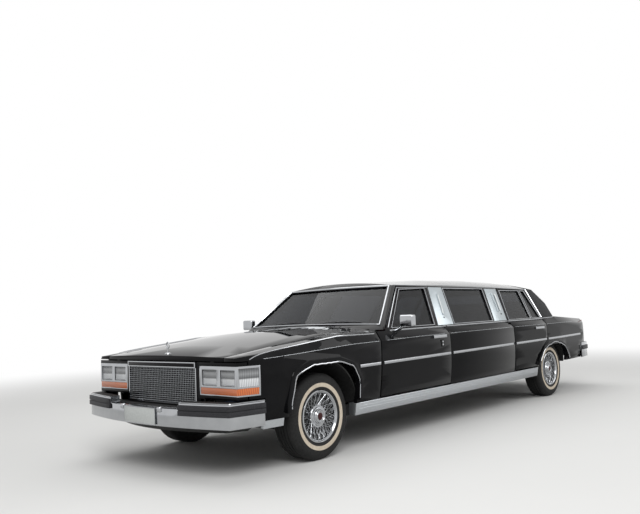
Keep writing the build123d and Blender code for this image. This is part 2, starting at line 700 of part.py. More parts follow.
rear_axle = rod(x_rear_axle, -half_rear + skim, half_rear - skim, tyre_radius, 40)
y_stub = half_rear + half_tyre - 30
rear_axle += rod(x_rear_axle, -y_stub, y_stub, tyre_radius, spindle_radius)
rear_axle += Pos(x_rear_axle, 0, tyre_radius) * Rot(90, 0, 0) * Cylinder(135, 180)
for side in (1, -1):
    seat_low, seat_high = tyre_radius + 30, kick_up - rail_deep
    rear_axle += Pos(x_rear_axle, side * (rail_in + rail_out) / 2, (seat_low + seat_high) / 2) * Cylinder(
        30, seat_high - seat_low)

# Front crossmember under the rails, with lower and upper arms to the kingpins
cross_top = 320
suspension = box(x_front_axle - 90, x_front_axle + 90, -460, 460, 215, cross_top)
for side in (1, -1):
    y_pin = side * y_kingpin
    for z in (tyre_radius - 115, tyre_radius + 95):
        arm = plan_slab([(x_front_axle - 110, side * 400), (x_front_axle + 110, side * 400),
                         (x_front_axle + 35, y_pin), (x_front_axle - 35, y_pin)], z - 2, z + 20)
        arm += Pos(x_front_axle, y_pin, z + 9) * Cylinder(38, 22)
        arm -= Pos(x_front_axle, y_pin, z + 9) * Cylinder(kingpin_radius + skim, 40)
        suspension += arm
    suspension += box(x_front_axle - 110, x_front_axle + 110, side * 395, side * 445, 420, 470)

# Ladder frame: side rails with kick-ups over the axles, and cross members
rail_path = [
    (x_front_axle + 820, 420), (x_front_axle - 350, 420), (x_front_axle - 700, rail_top),
    (x_rear_axle + 640, rail_top), (x_rear_axle + 420, kick_up), (x_rear_axle - 1050, kick_up)]
rail_outline = rail_path + [(x, z - rail_deep) for x, z in reversed(rail_path)]
rail = side_slab(rail_outline, rail_in, rail_out)
frame = rail + rail.mirror(Plane.XZ)
cross_rows = [
    (x_front_axle + 700, 340, 400), (x_front_axle - 900, 215, 285), (x_front_axle - 1900, 215, 285),
    (x_front_axle - 2900, 215, 285), (x_rear_axle + 850, 215, 285), (x_rear_axle - 500, 420, 490),
    (x_rear_axle - 1000, 420, 490)]
for x, z0, z1 in cross_rows:
    frame += box(x - 40, x + 40, -rail_in - 5, rail_in + 5, z0, z1)

# Floor: firewall, toe board, floor, heel board and boot floor in one folded sheet
sheet = 12
wall_top = belt_height - 30
floor_path = [
    (x_cowl - 40, wall_top), (x_cowl - 40, 520), (x_cowl - 240, rail_top + sheet),
    (x_rear_axle + 640, rail_top + sheet),
    (x_rear_axle + 420, kick_up + sheet), (x_tail + panel_wall, kick_up + sheet)]
under_path = [
    (x_cowl - 40 + sheet, wall_top), (x_cowl - 40 + sheet, 515), (x_cowl - 240 + sheet, rail_top),
    (x_rear_axle + 640, rail_top), (x_rear_axle + 420, kick_up), (x_tail + panel_wall, kick_up)]
y_floor = post_out
floor = side_slab(floor_path + list(reversed(under_path)), -y_floor, y_floor)
tunnel_z = 330
tunnel_radius = 80
tunnel_from, tunnel_to = x_cowl - 60, x_rear_axle + 600


def tunnel_bar(radius):
    """A bar along the car's middle, as long as the floor tunnel."""
    middle = (tunnel_from + tunnel_to) / 2
    return Pos(middle, 0, tunnel_z) * Rot(0, 90, 0) * Cylinder(radius, tunnel_from - tunnel_to)


floor += tunnel_bar(tunnel_radius + sheet) & box(tunnel_to, tunnel_from, -200, 200, rail_top, 600)
floor -= Pos(0, 0, tunnel_z) * Rot(0, 90, 0) * Cylinder(tunnel_radius, 2 * length)
for side in (1, -1):
    floor -= box(x_tail, x_rear_axle + 560, side * 620, side * half_width, 0, belt_height)
    floor -= box(x_cowl - 40, x_cowl + 60, side * (post_out - 146), side * half_width, 0, belt_height)

# Wheel housings: an arched wall over each wheel, joined to its inner wall
housings = None
cavity = body_half(panel_wall)
for x, y_in, radius in ((x_front_axle, 470, 440), (x_rear_axle, 620, 400)):
    width = half_width - y_in
    outer = Pos(x, y_in + width / 2, tyre_radius) * Rot(90, 0, 0) * Cylinder(radius, width)
    inner = Pos(x, y_in + sheet + width / 2, tyre_radius) * Rot(90, 0, 0) * Cylinder(radius - sheet, width)
    cup = (outer - inner) & box(x - radius, x + radius, 0, half_width, tyre_radius + 60, belt_height) & cavity
    housings = cup if housings is None else housings + cup
housings -= box(x_front_axle - 130, x_front_axle + 130, 400, 500, 0, 470)

front_post = hinge_post(front_hinge_x, x_cowl - 40, x_cowl + 50, post_out - 146, rail_top, wall_top)
rear_post = hinge_post(
    rear_hinge_x, x_rear_seam - 55, x_rear_seam + 60, post_out - 56, rail_top + sheet, wall_top)
rear_post += box(x_rear_seam + 15, x_rear_seam + 60, post_out - 5, y_wall, door_sill + 10, wall_top)

engine = box(x_front_axle - 350, x_front_axle + 330, -250, 250, cross_top, 800)
shaft_from, shaft_to = x_front_axle - 350, x_rear_axle + 100
rear_axle += Pos((shaft_from + shaft_to) / 2, 0, tunnel_z) * Rot(0, 90, 0) * Cylinder(35, shaft_from - shaft_to)

# Cabin furniture
def bench(x_front, z_floor, width, cushion, back):
    """A bench seat: cushion and back in one outline, seen from the side."""
    outline = [(x_front, z_floor), (x_front, z_floor + cushion), (x_front - 430, z_floor + cushion - 40),
               (x_front - 560, z_floor + back), (x_front - 660, z_floor + back), (x_front - 600, z_floor)]
    return side_slab(outline, -width / 2, width / 2)


front_seat = bench(x_front_axle - 1280, rail_top + sheet, body_width - 550, 240, 640)
front_seat -= tunnel_bar(tunnel_radius + sheet + skim)
rear_seat = bench(x_rear_axle + 560, kick_up + sheet + skim, body_width - 710, 170, 560)
dashboard = side_slab(
    [(x_cowl - 40, wall_top - 25), (x_cowl - 40, wall_top - 225), (x_cowl - 300, wall_top - 245),
     (x_cowl - 330, wall_top - 45), (x_cowl - 250, wall_top + 15)],
    175 - half_width, half_width - 175)

column = Pos(x_cowl - 420, 380, 840) * Rot(0, -68, 0)
rim_section = Pos(185, 0, 0) * Rot(90, 0, 0) * RegularPolygon(13, 8)
steering_wheel = column * (
    revolve(rim_section, axis=Axis.Z) + Cylinder(36, 30) + Pos(0, 0, -90) * Cylinder(20, 180))
for turn in (0, 120, 240):
    steering_wheel += column * Rot(0, 0, turn + 90) * Pos(92, 0, 0) * Box(180, 26, 12)
steering_wheel -= dashboard

tail_lamp = box(
    x_tail - 34, x_tail, half_width - 165, half_width - 75, rear_bumper_top + 25, belt_height - 55)
tail_panel = car.shell & box(x_tail, x_tail + 60, -y_boot, half_width, kick_up + sheet, rear_bumper_top - seam)
tail_panel = tail_panel & box(-big, big, 0, y_boot + seam / 2, 0, belt_height)
tail_panel = tail_panel + tail_panel.mirror(Plane.XZ)
for side in (1, -1):
    tail_panel += box(x_tail + 8, x_tail + 28, side * 480, side * 520,
                      rear_bumper_top - seam - 1, rear_bumper_top - skim)
tail_panel += tail_filler
fuel_tank = box(x_rear_axle - 960, x_rear_axle - 560, -360, 360, 300, kick_up - skim)
pipe_z = 215 - 28 - skim
exhaust = Pos((x_front_axle - 900 + x_rear_axle + 200) / 2, -300, pipe_z) * Rot(0, 90, 0) * Cylinder(
    28, x_front_axle - 900 - x_rear_axle - 200)
exhaust += Pos(x_rear_axle + 1120, -300, 215) * Rot(0, 90, 0) * Cylinder(75, 440)

mirror_x = x_front_axle - 1055
mirror_low, mirror_in = belt_height + 35, half_width + 13
mirror = box(mirror_x, mirror_x + 55, mirror_in, mirror_in + 137, mirror_low, mirror_low + 102)
mirror = fillet(mirror.edges().filter_by(Axis.X), 16)
mirror = chamfer(mirror.faces().sort_by(Axis.X)[-1].edges(), 8)
mirror += front_slab(
    [(mirror_in - 83, mirror_low - 42), (mirror_in - 63, mirror_low - 60),
     (mirror_in + 17, mirror_low - 5), (mirror_in + 17, mirror_low + 20)], mirror_x + 5, mirror_x + 45)
mirror -= front_door
front_handle = pull_handle(x_front_axle - 1783, belt_height - 85) - front_door
rear_handle = pull_handle(x_rear_axle + 295, belt_height - 98) - rear_door

# Bumper brackets on the frame rails
for side in (1, -1):
    front_bumper += box(x_front_axle + 820, x_front_axle + 960, side * rail_in, side * rail_out, 400, 420)
    rear_bumper += box(x_rear_axle - 1050, x_rear_axle - 1240, side * rail_in, side * rail_out, 418, kick_up)

# Silver covers over the two wide pillars, each with a slim upright lamp
cover_thick = 4
# Columns: front and rear edge at the belt, then front and rear edge at the rail
cover_rows = [
    (x_front_seam + 103, x_front_axle - 2050, x_front_seam - 53, x_front_axle - 2170),
    (x_rear_seam + 318, x_rear_seam + 32, x_rear_seam + 164, x_rear_seam - 100)]
pillar_covers = []
for low_front, low_rear, high_front, high_rear in cover_rows:
    outline = [(low_front, window_low - 4), (high_front, rail_z(high_front) - 14),
               (high_rear, rail_z(high_rear) - 14), (low_rear, window_low - 4)]
    low_mid, high_mid = (low_front + low_rear) / 2, (high_front + high_rear) / 2
    lean = (high_mid - low_mid) / (roof_height - 110 - window_low)
    lamp_z0, lamp_z1 = belt_height + 115, belt_height + 330
    x0, x1 = low_mid + lean * (lamp_z0 - window_low), low_mid + lean * (lamp_z1 - window_low)
    lamp = [(x0 + 8, lamp_z0), (x1 + 8, lamp_z1), (x1 - 8, lamp_z1), (x0 - 8, lamp_z0)]
    pillar_covers.append(side_prism(outline, -cover_thick, 0) + side_prism(lamp, -cover_thick - 12, 0))

parts["hood"] = hood
parts["boot_lid"] = boot_lid
parts["cowl"] = cowl
parts["front_fenders"] = pair(fender)
parts["centre_panels"] = pair(centre)
parts["rear_quarters"] = pair(quarter)
parts["sills"] = pair(sill, front_sill)
parts["rear_shelf"] = rear_shelf
parts["roof"] = roof
parts["windshield"] = windshield
parts["rear_glass"] = rear_glass
parts["centre_glass"] = pair(centre_pane)
parts["header_panel"] = header
parts["grille"] = grille
parts["headlamps"] = pair(*front_lenses, corner_lens)
parts["turn_lamps"] = pair(amber)
parts["lamp_bezels"] = pair(bezel)
parts["bumper_strips"] = group(front_pads, rear_pads)
parts["front_valance"] = group(valance, front_shelf)
parts["pillar_covers"] = pair(*pillar_covers)
parts["tail_lamps"] = pair(tail_lamp)
parts["tail_panel"] = tail_panel
parts["front_bumper"] = front_bumper
parts["rear_bumper"] = rear_bumper
parts["rear_axle"] = rear_axle
parts["front_suspension"] = suspension
parts["frame"] = frame
parts["floor"] = floor
parts["hinge_posts"] = pair(front_post, rear_post)
parts["wheel_housings"] = pair(housings)
parts["engine"] = engine
parts["fuel_tank"] = fuel_tank
parts["exhaust"] = exhaust
parts["front_seat"] = front_seat
parts["rear_seat"] = rear_seat
parts["dashboard"] = dashboard
parts["steering_wheel"] = steering_wheel
sided_parts = {
    "front_door": [front_door],
    "front_door_glass": front_panes,
    "front_door_trim": [mirror, front_handle],
    "rear_door": [rear_door],
    "rear_door_glass": rear_panes,
    "rear_door_handle": [rear_handle],
    "knuckle": [knuckle],
}
for name, shapes in sided_parts.items():
    parts[name + "_left"] = group(*shapes)
    parts[name + "_right"] = group(*[mirrored(shape) for shape in shapes])

os.makedirs("parts", exist_ok=True)
for name, shape in parts.items():
    export_step(shape, "parts/" + name + ".step")
    print(name, len(shape.solids()), round(shape.volume / 1000))
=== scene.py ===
import json
import math
import bpy
from mathutils import Matrix, Vector
from mathutils.bvhtree import BVHTree

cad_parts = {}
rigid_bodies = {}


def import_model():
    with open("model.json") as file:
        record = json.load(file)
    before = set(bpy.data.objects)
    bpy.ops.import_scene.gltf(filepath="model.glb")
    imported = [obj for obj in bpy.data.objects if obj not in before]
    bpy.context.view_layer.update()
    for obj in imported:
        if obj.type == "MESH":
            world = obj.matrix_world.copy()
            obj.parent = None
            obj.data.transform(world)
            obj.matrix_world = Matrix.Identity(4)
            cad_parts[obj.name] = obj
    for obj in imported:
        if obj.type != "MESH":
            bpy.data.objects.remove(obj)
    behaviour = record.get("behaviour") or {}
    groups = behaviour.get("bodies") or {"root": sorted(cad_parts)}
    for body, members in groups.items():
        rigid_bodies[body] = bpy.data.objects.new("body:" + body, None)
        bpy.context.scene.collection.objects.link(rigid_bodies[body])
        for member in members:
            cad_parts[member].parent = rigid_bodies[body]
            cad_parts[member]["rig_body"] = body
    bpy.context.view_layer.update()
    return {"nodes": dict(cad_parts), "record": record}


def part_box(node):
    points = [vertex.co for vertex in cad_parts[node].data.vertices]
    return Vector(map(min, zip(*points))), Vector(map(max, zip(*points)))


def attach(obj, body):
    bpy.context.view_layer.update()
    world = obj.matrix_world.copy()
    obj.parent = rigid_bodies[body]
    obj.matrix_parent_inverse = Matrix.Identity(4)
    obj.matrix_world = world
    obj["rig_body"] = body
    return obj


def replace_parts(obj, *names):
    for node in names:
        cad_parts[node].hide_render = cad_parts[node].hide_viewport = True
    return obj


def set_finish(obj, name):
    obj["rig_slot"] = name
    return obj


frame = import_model()
print("frame loaded")

nodes = frame["nodes"]
tau = 2 * math.pi
frontAxle, rearAxle, hubHeight = 2.29, -2.01, 0.336

# The camera that took the photograph, in metres and degrees
cameraView = {"place": (6.3754, 4.5802, 1.1371), "yaw": -138.359, "pitch": 4.6385, "roll": -2.4328,
              "lens": 39.05, "sensor": 36}


def placeCamera():
    yaw, pitch, roll = (math.radians(cameraView[k]) for k in ("yaw", "pitch", "roll"))
    forward = Vector((math.cos(pitch) * math.cos(yaw), math.cos(pitch) * math.sin(yaw), math.sin(pitch)))
    right = Vector((math.sin(yaw), -math.cos(yaw), 0))
    up = right.cross(forward)
    sideways = right * math.cos(roll) + up * math.sin(roll)
    upright = up * math.cos(roll) - right * math.sin(roll)
    turn = Matrix((sideways, upright, -forward)).transposed().to_4x4()
    bpy.ops.object.camera_add()
    camera = bpy.context.object
    camera.matrix_world = Matrix.Translation(cameraView["place"]) @ turn
    camera.data.sensor_width = cameraView["sensor"]
    camera.data.lens = cameraView["lens"]
    camera.data.clip_end = 200
    bpy.context.scene.camera = camera


# Material building


def newFinish(name, **values):
    finish = bpy.data.materials.new(name)
    finish.use_nodes = True
    tree = finish.node_tree
    shader = tree.nodes["Principled BSDF"]
    for key, value in values.items():
        shader.inputs[key.replace("_", " ")].default_value = value
    return finish, tree, shader


def addNode(tree, kind, **values):
    node = tree.nodes.new(kind)
    for key, value in values.items():
        if key in node.bl_rna.properties:
            setattr(node, key, value)
        else:
            node.inputs[key.replace("_", " ")].default_value = value
    return node


def join(tree, source, target):
    tree.links.new(source, target)


def placedNode(tree, kind, **values):  # a node that reads the Object coordinates
    node = addNode(tree, kind, **values)
    join(tree, addNode(tree, "ShaderNodeTexCoord").outputs["Object"], node.inputs["Vector"])
    return node


def noiseField(tree, scale, detail=4, rough=0.55, stretch=(1, 1, 1)):
    mapping = placedNode(tree, "ShaderNodeMapping", Scale=stretch)
    noise = addNode(tree, "ShaderNodeTexNoise", Scale=scale, Detail=detail, Roughness=rough)
    join(tree, mapping.outputs[0], noise.inputs["Vector"])
    return noise.outputs["Fac"]


def ramp(tree, field, low, high, start=0.3, end=0.7):  # a single number is a grey
    node = addNode(tree, "ShaderNodeValToRGB")
    for stop, place, tone in zip(node.color_ramp.elements, (start, end), (low, high)):
        stop.position = place
        stop.color = (tone, tone, tone, 1) if isinstance(tone, float) else (*tone, 1)
    join(tree, field, node.inputs["Fac"])
    return node.outputs["Color"]


def addBump(tree, shader, field, strength, distance):
    bump = addNode(tree, "ShaderNodeBump", Strength=strength, Distance=distance)
    join(tree, field, bump.inputs["Height"])
    join(tree, bump.outputs[0], shader.inputs["Normal"])


def rangeOf(tree, field, low, high, start=0.0, end=1.0, kind="LINEAR"):
    node = addNode(tree, "ShaderNodeMapRange", interpolation_type=kind, From_Min=start, From_Max=end, To_Min=low,
                   To_Max=high)
    join(tree, field, node.inputs["Value"])
    return node.outputs[0]


def roughNoise(tree, scale, low, high):
    return rangeOf(tree, noiseField(tree, scale), low, high)


def feed(tree, value, socket):
    if isinstance(value, float):
        socket.default_value = value
    else:
        join(tree, value, socket)


def mathOf(tree, operation, first, second):
    node = addNode(tree, "ShaderNodeMath", operation=operation)
    feed(tree, first, node.inputs[0])
    feed(tree, second, node.inputs[1])
    return node.outputs[0]


def mixOf(tree, kind, share, first, second):
    node = addNode(tree, "ShaderNodeMixRGB", blend_type=kind)
    for key, value in (("Fac", share), ("Color1", first), ("Color2", second)):
        feed(tree, value, node.inputs[key])
    return node.outputs[0]


def placeAlong(tree, axis):
    return placedNode(tree, "ShaderNodeSeparateXYZ").outputs[axis]


def flutes(tree, **values):
    return placedNode(tree, "ShaderNodeTexWave", bands_direction="Y", **values).outputs


def cover(tree, shader, colour, rough):
    join(tree, colour, shader.inputs["Base Color"])
    join(tree, rough, shader.inputs["Roughness"])


enamelTones = ((0.003, 0.003, 0.0035), (0.006, 0.006, 0.0068))


def noiseFinish(name, scale, tones, roughScale, rough, **values):
    finish, tree, shader = newFinish(name, **values)
    cover(tree, shader, ramp(tree, noiseField(tree, scale), *tones), roughNoise(tree, roughScale, *rough))
    return finish


def paintFinish(name):
    return noiseFinish(name, 3, enamelTones, 40, (0.3, 0.42), Metallic=0.0, Specular_IOR_Level=0.0, Coat_Weight=1.0,
                       Coat_Roughness=0.015, Coat_IOR=1.19)


def brushedFinish(name="brushed bright trim", low=(0.40, 0.42, 0.44), high=(0.52, 0.54, 0.56),
                  stretch=(0.4, 8, 8)):
    finish, tree, shader = newFinish(name, Metallic=0.9)
    streaks = noiseField(tree, 60, 3, stretch=stretch)
    cover(tree, shader, ramp(tree, streaks, low, high), rangeOf(tree, streaks, 0.26, 0.42))
    return finish


def lensFinish(name, low, high):
    finish, tree, shader = newFinish(name, IOR=1.5, Coat_Weight=0.7, Coat_Roughness=0.04)
    wave = flutes(tree, Scale=60, Distortion=0.6)
    cover(tree, shader, ramp(tree, wave["Fac"], low, high, 0.1, 0.9), roughNoise(tree, 80, 0.05, 0.14))
    addBump(tree, shader, wave["Fac"], 0.5, 0.002)
    return finish


# Headlamp glass with a painted reflection of the reflector bowl: height and tone of the two ends, then of the stops
# between them
bowlReflectionTones = ((0.655, (0.70, 0.72, 0.75, 1)), (0.765, (0.07, 0.075, 0.08, 1)), (0.697, (0.78, 0.80, 0.82, 1)),
             (0.706, (0.09, 0.095, 0.10, 1)), (0.735, (0.30, 0.31, 0.32, 1)))


def headlampFinish():
    finish, tree, shader = newFinish("fluted headlamp glass", IOR=1.5, Coat_Weight=0.8, Coat_Roughness=0.04)
    wave = flutes(tree, Scale=75)
    # Painted reflection: the glass colour goes bright and dark with height
    paintedReflectionRamp = addNode(tree, "ShaderNodeValToRGB")
    join(tree, placeAlong(tree, "Z"), paintedReflectionRamp.inputs["Fac"])
    stops = paintedReflectionRamp.color_ramp.elements
    for stop, (place, tone) in zip(stops, bowlReflectionTones):
        stop.position, stop.color = place, tone
    for place, tone in bowlReflectionTones[2:]:
        stops.new(place).color = tone
    cover(tree, shader, mixOf(tree, "MULTIPLY", 0.5, paintedReflectionRamp.outputs["Color"], wave["Color"]),
          roughNoise(tree, 80, 0.05, 0.14))
    addBump(tree, shader, wave["Fac"], 0.4, 0.0015)
    return finish


def plainFinish(name, low, high, rough=(0.4, 0.6), scale=60, bump=0.1, depth=0.0005, metallic=0.0):
    finish, tree, shader = newFinish(name, Metallic=metallic, Specular_IOR_Level=0.2)
    field = noiseField(tree, scale)
    cover(tree, shader, ramp(tree, field, low, high), rangeOf(tree, field, *rough))
    addBump(tree, shader, noiseField(tree, scale * 4, 3), bump, depth)
    return finish


# Roof: enamel in front of the sail panels, grained vinyl behind the line of the rear strip
vinylLine = {"front": -1.830, "rear": -1.834}


def roofFinish():
    finish, tree, shader = newFinish("enamel and grained vinyl roof", Specular_IOR_Level=0.1, Coat_Roughness=0.015,
                                     Coat_IOR=1.19)
    mask = rangeOf(tree, placeAlong(tree, "X"), 0.0, 1.0, vinylLine["rear"], vinylLine["front"])
    depth = placedNode(tree, "ShaderNodeTexVoronoi", Scale=420).outputs["Distance"]
    vinyl = ramp(tree, depth, (0.012, 0.012, 0.013), (0.034, 0.035, 0.036), 0.1, 0.6)
    enamel = ramp(tree, noiseField(tree, 3), *enamelTones)
    cover(tree, shader, mixOf(tree, "MIX", mask, vinyl, enamel), rangeOf(tree, mask, 0.62, 0.35))
    join(tree, mask, shader.inputs["Coat Weight"])
    addBump(tree, shader, mathOf(tree, "MULTIPLY", depth, mathOf(tree, "SUBTRACT", 1.0, mask)), 0.5, 0.0008)
    return finish


finishes = {
    "black_paint": paintFinish("gloss black enamel"),
    "tinted_glass": noiseFinish("dark tinted glass", 2, ((0.085, 0.092, 0.105), (0.12, 0.128, 0.14)), 12, (0.0, 0.02),
                                Metallic=0.0, IOR=1.24, Transmission_Weight=0.97),
    "bright_chrome": noiseFinish("polished chrome", 14, ((0.40, 0.41, 0.425), (0.44, 0.45, 0.465)), 30, (0.07, 0.11),
                                 Metallic=1.0),
    "brushed_trim": brushedFinish(),
    "lamp_lens": headlampFinish(),
    "amber_lens": lensFinish("amber moulded lens", (0.42, 0.075, 0.008), (0.62, 0.15, 0.018)),
    "red_lens": lensFinish("red moulded lens", (0.16, 0.004, 0.004), (0.32, 0.012, 0.01)),
    "bumper_rubber": plainFinish("ribbed bumper rubber", (0.016, 0.016, 0.018), (0.036, 0.036, 0.04), scale=120),
    "chassis_black": plainFinish("satin underbody black", 0.010, 0.024),
    "cast_iron": plainFinish("rough cast iron", (0.06, 0.055, 0.05), (0.14, 0.13, 0.12), bump=0.4),
    "exhaust_steel": plainFinish("dull exhaust steel", (0.14, 0.12, 0.1), (0.3, 0.27, 0.24), metallic=0.8),
    "seat_cloth": plainFinish("burgundy plush", (0.07, 0.01, 0.015), (0.12, 0.02, 0.025), (0.7, 0.9), 300),
    "dash_plastic": plainFinish("grained soft plastic", (0.012, 0.012, 0.013), 0.03, scale=400),
    "tyre_rubber": plainFinish("black rubber", 0.010, 0.022, (0.6, 0.8)),
}
extras = {
    "roof": roofFinish(),
    "whitewall": plainFinish("cream whitewall rubber", (0.50, 0.43, 0.34), (0.60, 0.53, 0.43), (0.55, 0.7), 30),
    "well": plainFinish("dark wheel well", (0.012, 0.013, 0.013), (0.035, 0.037, 0.036), (0.3, 0.5), 40, metallic=0.4),
    "enamel": plainFinish("burgundy enamel cap", (0.03, 0.006, 0.006), (0.05, 0.01, 0.01), (0.12, 0.2), 90),
    "shadow": plainFinish("matt black filler", 0.006, 0.014, (0.6, 0.8)),
    "cover": brushedFinish("silver pillar cover", (0.36, 0.40, 0.42), (0.44, 0.48, 0.50), (3, 3, 0.3)),
    "milk": plainFinish("frosted coach lamp", (0.66, 0.68, 0.68), (0.78, 0.80, 0.80), (0.15, 0.25), 50, bump=0.05),
    "plate": plainFinish("blank plate", (0.46, 0.48, 0.47), (0.54, 0.56, 0.55), (0.35, 0.5), 90, bump=0.03),
    "sheen": paintFinish("satin door surround"),
    "card": plainFinish("burgundy grained door card", (0.055, 0.010, 0.013), (0.085, 0.017, 0.02), (0.45, 0.6), 220),
    "blockPaint": plainFinish("engine enamel", (0.012, 0.03, 0.07), (0.02, 0.045, 0.10), (0.35, 0.5), 60),
}
shadow, steel = extras["shadow"], finishes["exhaust_steel"]
slotOf = {row["node"]: row["material_slot"] for row in frame["record"]["subparts"]}
for name, node in nodes.items():
    node.data.materials.clear()
    node.data.materials.append(finishes[slotOf[name]])
nodes["roof"].data.materials[0] = extras["roof"]
nodes["pillar_covers"].data.materials[0] = extras["cover"]
print("finishes made")


def clearSelection():
    if bpy.context.object and bpy.context.object.mode != "OBJECT":
        leaveEdit()
    bpy.ops.object.select_all(action="DESELECT")


def pick(*pieces):
    clearSelection()
    for piece in pieces:
        piece.select_set(True)
    bpy.context.view_layer.objects.active = pieces[0]


def editAll():
    bpy.ops.object.mode_set(mode="EDIT")
    bpy.ops.mesh.select_all(action="SELECT")


def leaveEdit():
    bpy.ops.object.mode_set(mode="OBJECT")


def applyPlace():
    bpy.ops.object.transform_apply(location=True, rotation=True, scale=True)


def duplicateOf(piece):
    pick(piece)
    bpy.ops.object.duplicate()
    twin = bpy.context.object
    for key in list(twin.keys()):
        del twin[key]
    twin.parent = None
    return twin


def finishPiece(piece, name, slotName, body, finish=None, smooth=35):
    pick(piece)
    applyPlace()
    bpy.ops.object.shade_smooth_by_angle(angle=math.radians(smooth))
    piece.name = piece.data.name = name
    piece.data.materials.clear()
    piece.data.materials.append(finish or finishes[slotName])
    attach(piece, body)
    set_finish(piece, slotName)
    return piece


# Panels: a copy of each CAD panel with softened edges stands for it
panelEdge = {"width": 0.0022, "fine": 0.0012, "segments": 2, "angle": 32, "merge": 0.00002, "flat": 0.4}
fineNodes = ("bumper_strips", "lamp_bezels", "turn_lamps", "headlamps")
dressedNodes = ("hood", "boot_lid", "cowl", "front_fenders", "centre_panels", "rear_quarters", "sills",
                "rear_shelf", "roof", "header_panel", "tail_panel", "front_bumper", "rear_bumper",
                "front_door_left", "front_door_right", "rear_door_left", "rear_door_right",
                "front_door_trim_left", "front_door_trim_right", "rear_door_handle_left",
                "rear_door_handle_right", "pillar_covers", "front_valance", *fineNodes, "tail_lamps")


def dressNode(nodeName):
    source = nodes[nodeName]
    body = source["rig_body"]
    piece = duplicateOf(source)
    editAll()
    bpy.ops.mesh.customdata_custom_splitnormals_clear()
    bpy.ops.mesh.remove_doubles(threshold=panelEdge["merge"])
    bpy.ops.mesh.dissolve_limited(angle_limit=math.radians(panelEdge["flat"]))
    leaveEdit()
    bevel = piece.modifiers.new("edges", "BEVEL")
    bevel.width = panelEdge["fine"] if nodeName in fineNodes else panelEdge["width"]
    bevel.segments = panelEdge["segments"]
    bevel.limit_method = "ANGLE"
    bevel.angle_limit = math.radians(panelEdge["angle"])
    bpy.ops.object.modifier_apply(modifier="edges")
    finishPiece(piece, nodeName + "_skin", slotOf[nodeName], body, source.data.materials[0], smooth=28)
    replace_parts(piece, nodeName)


for nodeName in dressedNodes:
    dressNode(nodeName)
# The air dam's lower edge tucks in and back, as it does on the road car
damEdge = {"below": 0.30, "up": 0.040, "back": 0.07, "narrow": 0.84}
for corner in bpy.data.objects["front_valance_skin"].data.vertices:
    if corner.co.z < damEdge["below"]:
        corner.co = (corner.co.x - damEdge["back"], corner.co.y * damEdge["narrow"], corner.co.z + damEdge["up"])
print("panels dressed")

# Modelling helpers
surfaces = {}


def surfaceOf(*names):
    if names not in surfaces:
        corners, faces = [], []
        for name in names:
            start = len(corners)
            mesh = nodes[name].data
            corners += [v.co.copy() for v in mesh.vertices]
            faces += [[start + i for i in face.vertices] for face in mesh.polygons]
        surfaces[names] = BVHTree.FromPolygons(corners, faces)
    return surfaces[names]


def seat(view, pair, names):  # where a point seen from that side lands on those CAD nodes
    a, b = pair
    begin, ahead = {"side": ((a, 1.4, b), (0, -1, 0)), "top": ((a, b, 1.9), (0, 0, -1)),
                    "front": ((4, a, b), (-1, 0, 0)), "rear": ((-4, a, b), (1, 0, 0))}[view]
    return surfaceOf(*names).ray_cast(Vector(begin), Vector(ahead))[0]


def spaced(points, step=0.05):
    found = [points[0]]
    for a, b in zip(points, points[1:]):
        count = max(1, round((Vector(b) - Vector(a)).length / step))
        found += [tuple(Vector(a).lerp(Vector(b), k / count)) for k in range(1, count + 1)]
    return found


def landed(view, pairs, names, shift=(0, 0, 0)):
    places = [seat(view, pair, names) for pair in pairs]
    return [place + Vector(shift) for place in places if place]


def seated(view, pairs, names, step=0.05, shift=(0, 0, 0)):
    return landed(view, spaced(pairs, step), names, shift)


def sideY(z):  # the sloping side plane of the glasshouse
    return 0.893 - (z - 0.955) * math.tan(math.radians(27.5))


def onGlass(pairs, out=0.0, step=0.4):
    return [(x + frontAxle, sideY(z) + out, z) for x, z in spaced(pairs, step)]


def extrudeBy(way):
    bpy.ops.mesh.extrude_region_move(TRANSFORM_OT_translate={"value": way})


def tidyMesh(piece, merge=0.00001):
    editAll()
    bpy.ops.mesh.remove_doubles(threshold=merge)
    bpy.ops.mesh.normals_make_consistent(inside=False)
    leaveEdit()


def bead(name, points, radius, slotName="bright_chrome", body="root", finish=None, flat=0.0, closed=False, sides=1,
         level=True):
    clearSelection()
    bpy.ops.curve.primitive_bezier_curve_add(location=(0, 0, 0))
    line = bpy.context.object
    bpy.ops.object.mode_set(mode="EDIT")
    bpy.ops.curve.select_all(action="SELECT")
    bpy.ops.curve.delete(type="VERT")
    for point in points:
        bpy.ops.curve.vertex_add(location=point)
    bpy.ops.curve.select_all(action="SELECT")
    bpy.ops.curve.spline_type_set(type="POLY")
    if closed:
        bpy.ops.curve.cyclic_toggle(direction="CYCLIC_U")
    leaveEdit()
    line.data.twist_mode = "Z_UP" if level else "MINIMUM"
    line.data.extrude = flat
    line.data.bevel_depth = radius
    line.data.bevel_resolution = sides
    line.data.use_fill_caps = True
    bpy.ops.object.convert(target="MESH")
    piece = bpy.context.object
    tidyMesh(piece)
    return finishPiece(piece, name, slotName, body, finish, smooth=50)


def copyOf(piece, name, body, move=(0, 0, 0), mirror=False, smooth=50):
    finish, slotName = piece.data.materials[0], piece["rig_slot"]
    twin = duplicateOf(piece)
    twin.location = move
    if mirror:
        twin.scale = (1, -1, 1)
    applyPlace()
    editAll()
    bpy.ops.mesh.normals_make_consistent(inside=False)
    leaveEdit()
    return finishPiece(twin, name, slotName, body, finish, smooth)


def bothSides(piece):
    return copyOf(piece, piece.name.replace("left", "right"), piece["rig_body"].replace("left", "right"), mirror=True)


# A rod is a bead without the level twist; beads and rods lie on both sides
def rod(name, points, radius, body="root", finish=None, slotName="bright_chrome", **more):
    return bead(name, points, radius, slotName, body, finish, level=False, **more)


def beads(name, *values, **more):
    bothSides(bead(name + "_left", *values, **more))


def rods(name, *values, **more):
    bothSides(rod(name + "_left", *values, **more))


